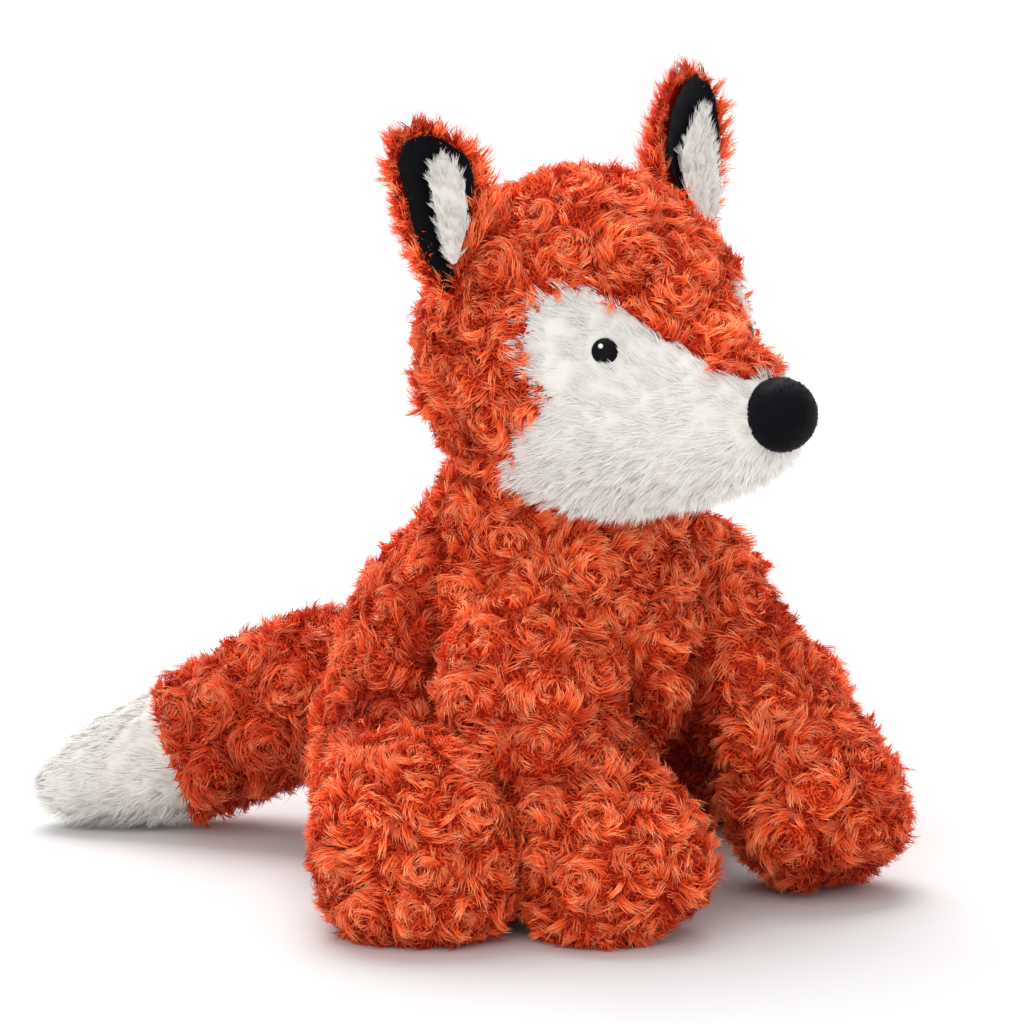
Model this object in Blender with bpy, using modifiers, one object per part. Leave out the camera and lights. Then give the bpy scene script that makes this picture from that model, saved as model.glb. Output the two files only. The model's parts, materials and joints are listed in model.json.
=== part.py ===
"""Sitting plush fox: skins of swirl plush, their fillings and a bag of pellets.

One object for each piece, in metres, +Z up. The fox looks along -Y and its right side is -X.
The origin is on the floor, in the middle of the seat. Each moving piece hangs on a pivot empty.
"""

from functools import partial
from math import cos, pi, radians, sin

import bmesh
import bpy
from mathutils import Matrix, Vector
from mathutils.bvhtree import BVHTree

# Cloth and clearances
CLOTH = 0.002
SEAM_GAP = 0.0003
FILLING_GAP = 0.0006
CUT_OVERRUN = 0.020
FLOOR_PRESS = 0.001
SCREW_MERGE = 0.00001
WELD = 0.00001

# Body, a pear that leans a little forward at the neck
BODY_HEIGHT = 0.138
BODY_HALF_WIDTH = 0.073
BODY_HALF_DEPTH = 0.068
BODY_LEAN = 0.017
# height, width, depth and lean, as shares of the sizes above
BODY_SHARES = [
    (-0.10, 0.62, 0.62, 0.00),
    (0.06, 0.93, 0.93, 0.00),
    (0.26, 1.02, 1.02, 0.08),
    (0.46, 0.98, 0.97, 0.30),
    (0.66, 0.84, 0.82, 0.62),
    (0.84, 0.66, 0.66, 0.90),
    (1.02, 0.54, 0.54, 1.00),
    (1.16, 0.40, 0.40, 1.00),
]
BODY_END_SHARES = (-0.17, 1.22)

# Neck seam: a flat disc with a shallow skirt, round the axis that the head turns on
NECK_RADIUS = 0.032
NECK_SKIRT_RADIUS = 0.092
NECK_SKIRT_DROP = 0.024
NECK_SIDES = 32

# Head, from the back of the skull to the end of the snout
HEAD_HALF_WIDTH = 0.0535
HEAD_HALF_HEIGHT = 0.0525
HEAD_REACH = 0.095
HEAD_CENTRE_Y = -0.028
HEAD_CENTRE_RISE = 0.045
# way forward as a share of the reach, then width, height and rise as shares of the half sizes
HEAD_SHARES = [
    (-0.45, 0.52, 0.54, 0.04),
    (-0.24, 0.90, 0.90, 0.02),
    (0.00, 1.03, 1.03, 0.00),
    (0.23, 1.00, 0.99, -0.02),
    (0.40, 0.80, 0.82, -0.14),
    (0.55, 0.58, 0.62, -0.285),
    (0.71, 0.45, 0.49, -0.33),
    (0.865, 0.36, 0.38, -0.30),
    (0.98, 0.27, 0.285, -0.32),
]
HEAD_END_SHARES = (-0.56, 1.07)

# White face panel from the side: way forward as a share of the reach, rise as one of the half height
FACE_SHARES = [
    (1.20, 0.00),
    (0.90, 0.00),
    (0.81, 0.03),
    (0.73, 0.095),
    (0.585, 0.20),
    (0.515, 0.31),
    (0.40, 0.46),
    (0.335, 0.48),
    (0.29, 0.42),
    (0.268, 0.257),
    (0.266, 0.08),
    (0.30, -0.065),
    (0.371, -0.17),
    (0.338, -0.233),
    (0.248, -0.33),
    (0.133, -0.57),
    (0.07, -0.80),
    (0.04, -1.00),
    (0.04, -1.30),
    (1.20, -1.30),
]

# Nose, a filled ball of fleece
NOSE_RADIUS = 0.012
NOSE_WAY_SHARE = 1.02
NOSE_RISE_SHARE = -0.240
NOSE_CLOTH = 0.0012

# Eyes, raised discs of black thread with a small white stitch
EYE_RADIUS = 0.0047
EYE_RISE = 0.0011
EYE_APART = 0.031
EYE_WAY_SHARE = 0.484
EYE_RISE_SHARE = 0.106
GLINT_RADIUS_SHARE = 0.20
GLINT_OFFSET_SHARE = 0.35
GLINT_RISE_SHARE = 0.35
EYE_SIDES = 12
EYE_RINGS = 6

# Ears
EAR_LENGTH = 0.047
EAR_BASE_HALF = 0.0165
EAR_THICK = 0.008
EAR_APART = 0.0440
EAR_WAY_SHARE = -0.06
EAR_LEAN = radians(19)
EAR_TILT = radians(8)
EAR_CUP = 0.0035
EAR_CLEAR = 0.0004
EAR_LAYER_GAP = 0.0009
EAR_LEVEL_SHARE = 0.5
EAR_ROLL_SHARE = 0.92
EAR_STEPS_ACROSS = 4
EAR_STEPS_UP = 5
# way up as a share of the length, half width as a share of the base half
EAR_SHARES = [(0.0, 0.98), (0.2, 1.10), (0.45, 1.10), (0.7, 0.86), (0.88, 0.52), (1.0, 0.16)]
EAR_LINING = 0.0014
EAR_LINING_SHARE = 0.80
EAR_PATCH = 0.0014
EAR_PATCH_SHARE = 0.46
EAR_PATCH_SPAN_SHARES = (0.16, 0.86)
EAR_LINING_SPAN_SHARES = (0.12, 0.94)

# Front legs, from the shoulder down to a round paw
SHOULDER_X = 0.042
SHOULDER_Y = -0.047
SHOULDER_RISE = 0.092
SHOULDER_RADIUS = 0.0265
FRONT_PAW_X = 0.0465
FRONT_PAW_REACH = 0.048
FRONT_PAW_RADIUS = 0.0295
# way along as a share of the leg, radius as a share of the paw's
FRONT_LEG_SHARES = [(0.02, 0.82), (0.28, 0.98), (0.60, 0.92), (0.94, 1.03), (1.20, 0.97), (1.36, 0.66)]
FRONT_LEG_END_SHARES = (-0.22, 1.43)

# Hind legs, from the hip out to a round foot
HIP_X = 0.060
HIP_Y = -0.008
HIP_RISE = 0.042
HIP_RADIUS = 0.0320
HIND_FOOT_RADIUS = 0.0325
HIND_LEG_LENGTH = 0.050
HIND_RIGHT_TURN = radians(47)
HIND_LEFT_TURN = radians(-14)
HIND_LEG_SHARES = [(0.02, 0.84), (0.34, 0.92), (0.72, 0.96), (1.12, 1.04), (1.44, 0.95), (1.62, 0.62)]
HIND_LEG_END_SHARES = (-0.40, 1.72)

THROAT_SHARE = 0.55

# Tail, from low on the back to its tip on the floor
TAIL_ROOT_X = -0.012
TAIL_ROOT_Y = 0.052
TAIL_ROOT_RISE = 0.050
TAIL_ROOT_RADIUS = 0.0270
TAIL_RADIUS = 0.0270
TAIL_LENGTH = 0.128
TAIL_TURN = radians(15)
TAIL_BEND = radians(45)
TAIL_SWING = radians(15)
TAIL_SEAM_SHARE = 0.58
# way along as a share of the length, radius as a share of the tail's, lift as a share of the root's
TAIL_SHARES = [
    (0.00, 0.78, 1.00),
    (0.20, 1.04, 0.78),
    (0.44, 1.05, 0.25),
    (0.66, 0.92, 0.00),
    (0.86, 0.70, 0.00),
    (0.97, 0.45, 0.00),
]
TAIL_END_SHARES = (-0.16, 1.02)

# Bag of pellets on the seat
BAG_HALF_WIDTH = 0.023
BAG_HALF_DEPTH = 0.026
BAG_HEIGHT = 0.034
BAG_Y = 0.004
BAG_SINK_SHARE = 0.40
BAG_RINGS = 8

# Counts of sides, and of steps round a ball that turns in its seat and round the filling in it
LIMB_SIDES = 8
LIMB_INNER_SIDES = 6
BODY_SIDES = 12
BODY_INNER_SIDES = 8
BALL_SIDES = 14
BALL_RINGS = 7
CORE_SIDES = 10
CORE_RINGS = 5

ORANGE = (0.62, 0.105, 0.030)
WHITE = (0.86, 0.85, 0.82)
BLACK = (0.010, 0.011, 0.016)
FIBRE_COLOUR = (0.80, 0.80, 0.78)
COTTON_COLOUR = (0.62, 0.58, 0.50)

X_AXIS = Vector((1, 0, 0))
Y_AXIS = Vector((0, 1, 0))
Z_AXIS = Vector((0, 0, 1))
SIDES = ((-1, "right"), (1, "left"))
BALL_COUNTS = (BALL_SIDES, BALL_RINGS)
CORE_COUNTS = (CORE_SIDES, CORE_RINGS)


def clear_scene():
    for thing in list(bpy.data.objects):
        bpy.data.objects.remove(thing)


def collection(name):
    made = bpy.data.collections.new(name)
    bpy.context.scene.collection.children.link(made)
    return made


def material(name, colour, roughness):
    made = bpy.data.materials.new(name)
    made.use_nodes = True
    shader = made.node_tree.nodes["Principled BSDF"]
    shader.inputs["Base Color"].default_value = (*colour, 1)
    shader.inputs["Roughness"].default_value = roughness
    shader.inputs["Metallic"].default_value = 0
    return made


def part(name, mesh, finish):
    thing = bpy.data.objects.new(name, mesh)
    PARTS.objects.link(thing)
    mesh.materials.append(finish)
    mesh.shade_smooth()
    return thing


def cutter(name, mesh):
    thing = bpy.data.objects.new(name, mesh)
    CUTTERS.objects.link(thing)
    thing.hide_render = True
    thing.display_type = "WIRE"
    return thing


def soften(thing, levels=1):
    modifier = thing.modifiers.new("soft", "SUBSURF")
    modifier.levels = levels
    modifier.render_levels = levels
    return thing


def combine(thing, tool, operation="DIFFERENCE"):
    modifier = thing.modifiers.new(tool.name, "BOOLEAN")
    modifier.operation = operation
    modifier.solver = "EXACT"
    modifier.object = tool
    return thing


def finish_mesh(work, name):
    """The mesh with its faces pointing out, also where the moved rings turned it inside out."""
    bmesh.ops.recalc_face_normals(work, faces=work.faces)
    if work.calc_volume(signed=True) < 0:
        bmesh.ops.reverse_faces(work, faces=work.faces)
    mesh = bpy.data.meshes.new(name)
    work.to_mesh(mesh)
    work.free()
    return mesh


def cage(name, stations, ends, sides):
    """A sphere primitive whose rings are moved to the stations: each a centre, a side and an up vector."""
    work = bmesh.new()
    steps = len(stations) + 1
    bmesh.ops.create_uvsphere(work, u_segments=sides, v_segments=steps, radius=1)
    # a soft ring is smaller than its cage by this share
    ring_share = (4 + 2 * cos(2 * pi / sides)) / 6
    for vert in work.verts:
        ring = min(range(steps + 1), key=lambda k: abs(cos(pi * k / steps) - vert.co.z))
        if ring == 0 or ring == steps:
            vert.co = ends[0] if ring == 0 else ends[1]
            continue
        centre, side, up = stations[ring - 1]
        around = Vector((vert.co.x, vert.co.y)).normalized() / ring_share
        vert.co = centre + side * around.x + up * around.y
    return finish_mesh(work, name)


def box(name, low, high):
    work = bmesh.new()
    bmesh.ops.create_cube(work, size=1)
    for vert in work.verts:
        vert.co = Vector(low[i] if vert.co[i] < 0 else high[i] for i in range(3))
    return finish_mesh(work, name)


def ball(name, centre, radius, axis, counts):
    """A ball with its poles on the axis that it turns about."""
    work = bmesh.new()
    bmesh.ops.create_uvsphere(work, u_segments=counts[0], v_segments=counts[1], radius=radius)
    turn = axis.to_track_quat("Z", "Y").to_matrix().to_4x4()
    work.transform(Matrix.Translation(centre) @ turn)
    return finish_mesh(work, name)


def rod(name, start, end, radius):
    work = bmesh.new()
    along = end - start
    bmesh.ops.create_cone(
        work, cap_ends=True, segments=BALL_SIDES, radius1=radius, radius2=radius, depth=along.length
    )
    turn = along.to_track_quat("Z", "Y").to_matrix().to_4x4()
    work.transform(Matrix.Translation((start + end) / 2) @ turn)
    return finish_mesh(work, name)


def close_seat_radius(radius):
    """A seat with the ball's own rings: its flats stay a seam gap off the ball as it turns."""
    return (radius + SEAM_GAP) / cos(pi / BALL_SIDES)


def loose_seat_radius(radius):
    """A seat with fewer sides and rings than the ball, still clear of it all over."""
    return (radius + SEAM_GAP) / cos(pi / CORE_SIDES) / cos(pi / CORE_RINGS / 2)


def body_form(name, inset):
    stations = []
    for height, width, depth, lean in BODY_SHARES:
        centre = Vector((0, -lean * BODY_LEAN, height * BODY_HEIGHT))
        side = X_AXIS * (width * BODY_HALF_WIDTH - inset)
        up = Y_AXIS * (depth * BODY_HALF_DEPTH - inset)
        stations.append((centre, side, up))
    low, high = BODY_END_SHARES
    ends = (Z_AXIS * (low * BODY_HEIGHT + inset), Vector((0, -BODY_LEAN, high * BODY_HEIGHT - inset)))
    return cage(name, stations, ends, BODY_INNER_SIDES if inset > 0 else BODY_SIDES)


def head_point(way, rise):
    """A point of the head's middle plane, from shares of its reach and half height."""
    y = HEAD_CENTRE_Y - way * HEAD_REACH
    return Vector((0, y, BODY_HEIGHT + HEAD_CENTRE_RISE + rise * HEAD_HALF_HEIGHT))


def head_form(name, inset):
    stations = []
    for way, width, height, rise in HEAD_SHARES:
        side = X_AXIS * (width * HEAD_HALF_WIDTH - inset)
        up = Z_AXIS * (height * HEAD_HALF_HEIGHT - inset)
        stations.append((head_point(way, rise), side, up))
    back, front = HEAD_END_SHARES
    ends = (
        head_point(back, HEAD_SHARES[0][3]) - Y_AXIS * inset,
        head_point(front, HEAD_SHARES[-1][3]) + Y_AXIS * inset,
    )
    return cage(name, stations, ends, BODY_INNER_SIDES if inset > 0 else BODY_SIDES)


def neck_seat(name, gap):
    """The space that the body may fill: a flat neck disc, its skirt and all that lies below and outside."""
    top = BODY_HEIGHT + gap
    outside = NECK_SKIRT_RADIUS + BODY_HALF_WIDTH
    profile = [
        (0, top),
        (NECK_RADIUS, top),
        (NECK_SKIRT_RADIUS, top - NECK_SKIRT_DROP),
        (outside, top - NECK_SKIRT_DROP),
        (outside, -BODY_HEIGHT),
        (0, -BODY_HEIGHT),
    ]
    mesh = bpy.data.meshes.new(name)
    points = [(radius, 0, height) for radius, height in profile]
    mesh.from_pydata(points, [(k, k + 1) for k in range(len(points) - 1)], [])
    seat = cutter(name, mesh)
    seat.location = (0, -BODY_LEAN, 0)
    turned = seat.modifiers.new("turned", "SCREW")
    turned.steps = NECK_SIDES
    turned.render_steps = NECK_SIDES
    turned.use_merge_vertices = True
    turned.merge_threshold = SCREW_MERGE
    return seat


def limb_stations(points, shares, radius, side_axis, inset):
    """Rings square to the limb's path, which runs through the points."""
    stations = []
    for k, (centre, share) in enumerate(zip(points, shares)):
        ahead = points[min(k + 1, len(points) - 1)] - points[max(k - 1, 0)]
        side = (side_axis - ahead * side_axis.dot(ahead) / ahead.length_squared).normalized()
        up = ahead.normalized().cross(side)
        size = share * radius - inset
        stations.append((centre, side * size, up * size))
    return stations


def straight_limb(name, root, tip, table, end_shares, radius, side_axis, inset):
    along = tip - root
    points = [root + along * way for way, _ in table]
    stations = limb_stations(points, [share for _, share in table], radius, side_axis, inset)
    start, end = end_shares
    back = along.normalized() * inset
    ends = (root + along * start + back, root + along * end - back)
    return cage(name, stations, ends, LIMB_INNER_SIDES if inset > 0 else LIMB_SIDES)


def front_leg_form(name, inset, side):
    root = Vector((side * SHOULDER_X, SHOULDER_Y, SHOULDER_RISE))
    tip = Vector((side * FRONT_PAW_X, SHOULDER_Y - FRONT_PAW_REACH, FRONT_PAW_RADIUS - FLOOR_PRESS))
    return straight_limb(
        name, root, tip, FRONT_LEG_SHARES, FRONT_LEG_END_SHARES, FRONT_PAW_RADIUS, X_AXIS, inset
    )


def hind_leg_form(name, inset, side):
    turn = HIND_RIGHT_TURN if side < 0 else HIND_LEFT_TURN
    root = Vector((side * HIP_X, HIP_Y, HIP_RISE))
    foot = root + Vector((side * cos(turn), -sin(turn), 0)) * HIND_LEG_LENGTH
    foot.z = HIND_FOOT_RADIUS - FLOOR_PRESS
    return straight_limb(
        name, root, foot, HIND_LEG_SHARES, HIND_LEG_END_SHARES, HIND_FOOT_RADIUS, Z_AXIS, inset
    )


def tail_point(way, size, lift):
    """A point on the tail's middle line: it lies on the floor, and lifts to its root on the back."""
    turned = TAIL_TURN + TAIL_BEND * way
    bend_radius = TAIL_LENGTH / TAIL_BEND
    flat = Vector((cos(turned) - cos(TAIL_TURN), sin(turned) - sin(TAIL_TURN), 0)) * bend_radius
    lying = size * TAIL_RADIUS - FLOOR_PRESS
    root_lift = TAIL_ROOT_RISE - (TAIL_SHARES[0][1] * TAIL_RADIUS - FLOOR_PRESS)
    return Vector((TAIL_ROOT_X, TAIL_ROOT_Y, lying + lift * root_lift)) + flat


def tail_form(name, inset):
    points = [tail_point(*row) for row in TAIL_SHARES]
    stations = limb_stations(points, [size for _, size, _ in TAIL_SHARES], TAIL_RADIUS, Z_AXIS, inset)
    start, end = TAIL_END_SHARES
    first = (points[1] - points[0]).normalized()
    last = (points[-1] - points[-2]).normalized()
    ends = (
        points[0] + first * (start * TAIL_LENGTH + inset),
        points[-1] + last * ((end - TAIL_SHARES[-1][0]) * TAIL_LENGTH - inset),
    )
    return cage(name, stations, ends, LIMB_INNER_SIDES if inset > 0 else LIMB_SIDES)


def make_limb(name, form, root, radius, axis, seats, finish):
    """A limb's skin and filling, which swell round its root ball, and the ball's seats in the body."""
    inward = Vector((-root.x, -BODY_LEAN - root.y, 0)).normalized()
    hollow = soften(cutter(f"{name}_hollow", form(f"{name}_hollow", CLOTH)))
    for seat in seats["wall"]:
        combine(hollow, seat)
    inner_ball = cutter(f"{name}_inner_ball", ball(name, root, radius - CLOTH, axis, CORE_COUNTS))
    combine(hollow, inner_ball, "UNION")
    throat_end = root + inward * (radius + CUT_OVERRUN)
    throat = cutter(f"{name}_throat", rod(name, root, throat_end, radius * THROAT_SHARE))
    combine(hollow, throat, "UNION")
    combine(hollow, SOLE)

    skin = soften(part(name, form(name, 0), finish))
    for seat in seats["skin"]:
        combine(skin, seat)
    outer_ball = cutter(f"{name}_ball", ball(name, root, radius, axis, BALL_COUNTS))
    combine(skin, outer_ball, "UNION")
    combine(skin, FLOOR)
    combine(skin, hollow)

    filling_inset = CLOTH + FILLING_GAP
    filling = soften(part(f"{name}_filling", form(name, filling_inset), FIBRE))
    for seat in seats["filling"]:
        combine(filling, seat)
    core = cutter(f"{name}_core", ball(name, root, radius - filling_inset, axis, CORE_COUNTS))
    combine(filling, core, "UNION")
    combine(filling, SEAT_FLOOR)

    close_ball = ball(name, root, close_seat_radius(radius), axis, BALL_COUNTS)
    loose_ball = ball(name, root, loose_seat_radius(radius), axis, CORE_COUNTS)
    return skin, filling, cutter(f"{name}_seat", close_ball), cutter(f"{name}_loose_seat", loose_ball)


def body_seats(name, turn):
    """The body as it cuts a limb's skin, the hollow in it and its filling, turned out of its place."""
    seats = {}
    for layer, gap in (("skin", 0), ("wall", CLOTH), ("filling", CLOTH + FILLING_GAP)):
        seat = soften(cutter(f"{name}_{layer}", body_form(f"{name}_{layer}", -SEAM_GAP - gap)))
        seat.data.transform(turn)
        seats[layer] = [seat]
    return seats


def tail_seats():
    """The body as the tail sees it at both ends of its swing."""
    root = Matrix.Translation((TAIL_ROOT_X, TAIL_ROOT_Y, 0))
    ends = []
    for side, word in SIDES:
        turn = root @ Matrix.Rotation(side * TAIL_SWING, 4, "Z") @ root.inverted()
        ends.append(body_seats(f"body_swung_{word}", turn))
    return {layer: ends[0][layer] + ends[1][layer] for layer in ends[0]}


def carry(name, place, things):
    """A pivot empty on a joint's axis, and the pieces that turn with it."""
    pivot = bpy.data.objects.new(f"{name}_pivot", None)
    PARTS.objects.link(pivot)
    pivot.location = place
    for thing in things:
        thing.parent = pivot
        thing.matrix_parent_inverse = Matrix.Translation(-place)
    return pivot


def surface_point(form, start, direction):
    """Where a line from outside meets a soft form, and the form's outward normal there."""
    tree = BVHTree.FromObject(form, bpy.context.evaluated_depsgraph_get())
    place, normal, _, _ = tree.ray_cast(start, direction)
    return place, normal


def make_body(finish):
    skin = soften(part("body_skin", body_form("body_skin", 0), finish))
    combine(skin, NECK, "INTERSECT")
    combine(skin, FLOOR)
    combine(skin, soften(cutter("body_hollow", body_form("body_hollow", CLOTH))))

    filling = soften(part("body_filling", body_form("body_filling", CLOTH + FILLING_GAP), FIBRE))
    combine(filling, NECK, "INTERSECT")
    combine(filling, SEAT_FLOOR)

    panel = soften(part("seat_panel", body_form("seat_panel", CLOTH + SEAM_GAP), COTTON))
    wide = BODY_HALF_WIDTH + CUT_OVERRUN
    deep = BODY_HALF_DEPTH + CUT_OVERRUN
    slab = cutter("seat_slab", box("seat_slab", (-wide, -deep, 0), (wide, deep, CLOTH)))
    combine(panel, slab, "INTERSECT")
    return skin, filling


def bag_form(name, outset):
    size = Vector((BAG_HALF_WIDTH + outset, BAG_HALF_DEPTH + outset, BAG_HEIGHT / 2 + outset))
    work = bmesh.new()
    bmesh.ops.create_uvsphere(work, u_segments=BODY_SIDES, v_segments=BAG_RINGS, radius=1)
    middle = Vector((0, BAG_Y, CLOTH + BAG_HEIGHT * BAG_SINK_SHARE))
    for vert in work.verts:
        vert.co = middle + vert.co * size
    return finish_mesh(work, name)


def make_bag(body_filling):
    bag = part("pellet_bag", bag_form("pellet_bag", 0), COTTON)
    combine(bag, SEAT_FLOOR)
    combine(body_filling, cutter("bag_space", bag_form("bag_space", SEAM_GAP)))


def face_prism(name, side, outset):
    """The side view of the white panel, as a solid that runs from the middle plane out past the cheek."""
    curve = bpy.data.curves.new(name, "CURVE")
    curve.dimensions = "2D"
    curve.fill_mode = "BOTH"
    points = [Vector((way * HEAD_REACH, rise * HEAD_HALF_HEIGHT)) for way, rise in FACE_SHARES]
    count = len(points)
    spline = curve.splines.new("POLY")
    spline.points.add(count - 1)
    spline.use_cyclic_u = True
    for k, place in enumerate(points):
        before = (place - points[k - 1]).normalized()
        after = (points[(k + 1) % count] - place).normalized()
        # the outline runs anticlockwise, so its right side is outside
        outward = Vector(((before + after).y, -(before + after).x)).normalized()
        moved = place + outward * outset
        spline.points[k].co = (moved.x, moved.y, 0, 1)
    reach = HEAD_HALF_WIDTH + CUT_OVERRUN
    inner = SEAM_GAP / 2 if side else -reach
    curve.extrude = (reach - inner) / 2
    flat = bpy.data.objects.new(name, curve)
    CUTTERS.objects.link(flat)
    # the curve's own x is the way forward, its y is up and its z is sideways
    turn = Matrix(((0, 0, 1), (-1, 0, 0), (0, 1, 0))).to_4x4()
    middle = (side or 1) * (reach + inner) / 2
    flat.matrix_world = Matrix.Translation(head_point(0, 0) + X_AXIS * middle) @ turn
    bpy.context.view_layer.update()
    mesh = bpy.data.meshes.new_from_object(flat.evaluated_get(bpy.context.evaluated_depsgraph_get()))
    work = bmesh.new()
    work.from_mesh(mesh)
    work.transform(flat.matrix_world)
    bmesh.ops.remove_doubles(work, verts=work.verts, dist=WELD)
    bpy.data.objects.remove(flat)
    return cutter(name, finish_mesh(work, name))


def make_head(orange, white):
    hollow = soften(cutter("head_hollow", head_form("head_hollow", CLOTH)))
    skin = soften(part("head_skin", head_form("head_skin", 0), orange))
    combine(skin, HEAD_NECK)
    combine(skin, face_prism("face_space", 0, SEAM_GAP))
    combine(skin, hollow)
    pieces = [skin]
    for side, word in SIDES:
        name = f"face_panel_{word}"
        panel = soften(part(name, head_form(name, 0), white))
        combine(panel, HEAD_NECK)
        combine(panel, face_prism(f"{name}_space", side, 0), "INTERSECT")
        combine(panel, hollow)
        pieces.append(panel)
    filling = soften(part("head_filling", head_form("head_filling", CLOTH + FILLING_GAP), FIBRE))
    combine(filling, HEAD_NECK)
    return [*pieces, filling]


def make_nose(black):
    centre = head_point(NOSE_WAY_SHARE, NOSE_RISE_SHARE)
    cover = part("nose_cover", ball("nose_cover", centre, NOSE_RADIUS, Y_AXIS, BALL_COUNTS), black)
    inner = ball("nose_hollow", centre, NOSE_RADIUS - NOSE_CLOTH, Y_AXIS, CORE_COUNTS)
    combine(cover, cutter("nose_hollow", inner))
    combine(cover, HEAD_CLEAR)
    core = ball("nose_filling", centre, NOSE_RADIUS - NOSE_CLOTH - SEAM_GAP, Y_AXIS, CORE_COUNTS)
    filling = part("nose_filling", core, FIBRE)
    combine(filling, HEAD_CLEAR)
    return [cover, filling]


def dome(name, place, normal, radius, rise):
    """A ball pressed flat along the normal."""
    work = bmesh.new()
    bmesh.ops.create_uvsphere(work, u_segments=EYE_SIDES, v_segments=EYE_RINGS, radius=1)
    turn = normal.to_track_quat("Z", "Y").to_matrix().to_4x4()
    flat = Matrix.Diagonal((radius, radius, rise, 1))
    work.transform(Matrix.Translation(place) @ turn @ flat)
    return finish_mesh(work, name)


def make_eyes(black, white):
    far = HEAD_HALF_WIDTH + HEAD_REACH
    pieces = []
    for side, word in SIDES:
        place = head_point(EYE_WAY_SHARE, EYE_RISE_SHARE) + X_AXIS * side * EYE_APART
        out = Vector((side * EYE_APART, -EYE_WAY_SHARE * HEAD_REACH, 0)).normalized()
        place, normal = surface_point(HEAD_CLEAR, place + out * far, -out)
        eye = part(f"eye_{word}", dome(f"eye_{word}", place, normal, EYE_RADIUS, EYE_RISE), black)
        combine(eye, HEAD_CLEAR)
        across = normal.cross(Z_AXIS).normalized()
        up = across.cross(normal)
        glint_way = (up - across * side).normalized() * EYE_RADIUS * GLINT_OFFSET_SHARE
        lift = EYE_RISE + SEAM_GAP + EYE_RISE * GLINT_RISE_SHARE
        glint = dome(
            f"eye_glint_{word}",
            place + glint_way + normal * lift,
            normal,
            EYE_RADIUS * GLINT_RADIUS_SHARE,
            EYE_RISE * GLINT_RISE_SHARE,
        )
        pieces += [eye, part(f"eye_glint_{word}", glint, white)]
    return pieces


def ear_half(way):
    """Half the ear's width at a share of its length, between the listed places."""
    for (low, low_half), (high, high_half) in zip(EAR_SHARES, EAR_SHARES[1:]):
        if way <= high:
            return EAR_BASE_HALF * (low_half + (high_half - low_half) * (way - low) / (high - low))
    return EAR_BASE_HALF * EAR_SHARES[-1][1]


def ear_sheet(name, ear, span_shares, width_share, forward, steps):
    """A cupped leaf: ear is its root, base and up directions, and forward moves it off the middle."""
    root, base, up = ear
    level = up.cross(Y_AXIS).normalized()
    level = level if level.dot(base) > 0 else -level
    work = bmesh.new()
    bmesh.ops.create_grid(work, x_segments=EAR_STEPS_ACROSS, y_segments=steps, size=1)
    low, high = span_shares
    for vert in work.verts:
        across = vert.co.x
        way = low + (high - low) * (vert.co.y + 1) / 2
        turned = base.lerp(level, min(way / EAR_LEVEL_SHARE, 1)).normalized()
        half = ear_half(way) * width_share
        cup = EAR_CUP * (across * width_share) ** 2
        vert.co = root + up * way * EAR_LENGTH + turned * across * half - Y_AXIS * (cup + forward)
    return finish_mesh(work, name)


def thicken(thing, thickness):
    modifier = thing.modifiers.new("cloth", "SOLIDIFY")
    modifier.thickness = thickness
    modifier.offset = 0
    return thing


def make_ears(orange, black, white):
    """The pivots of the two ears, each with its outer skin, lining and patch."""
    pivots = []
    for side, word in SIDES:
        above = head_point(EAR_WAY_SHARE, 0) + X_AXIS * side * EAR_APART + Z_AXIS * HEAD_REACH
        place, normal = surface_point(HEAD_CLEAR, above, -Z_AXIS)
        outward = Vector((normal.x, 0, normal.z)).normalized()
        base = outward.cross(Y_AXIS)
        root = place + outward * (EAR_THICK / 2 + EAR_CLEAR)
        up = Vector((side * sin(EAR_LEAN), sin(EAR_TILT), cos(EAR_LEAN))).normalized()
        ear = (root, base, up)
        name = f"ear_{word}"
        outer = part(name, ear_sheet(name, ear, (0, 1), 1, 0, EAR_STEPS_UP), orange)
        soften(thicken(outer, EAR_THICK))
        roll_half = base * EAR_BASE_HALF * EAR_ROLL_SHARE
        roll = rod(name, root - roll_half, root + roll_half, EAR_THICK / 2)
        combine(outer, cutter(f"{name}_roll", roll), "UNION")
        combine(outer, HEAD_CLEAR)
        forward = EAR_THICK / 2 + EAR_LAYER_GAP + EAR_LINING / 2
        sheet = ear_sheet(name, ear, EAR_LINING_SPAN_SHARES, EAR_LINING_SHARE, forward, EAR_STEPS_UP)
        lining = thicken(part(f"ear_lining_{word}", sheet, black), EAR_LINING)
        forward += EAR_LINING / 2 + EAR_LAYER_GAP + EAR_PATCH / 2
        sheet = ear_sheet(name, ear, EAR_PATCH_SPAN_SHARES, EAR_PATCH_SHARE, forward, EAR_STEPS_UP)
        patch = thicken(part(f"ear_patch_{word}", sheet, white), EAR_PATCH)
        pivots.append(carry(name, root, [outer, lining, patch]))
    return pivots


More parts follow.
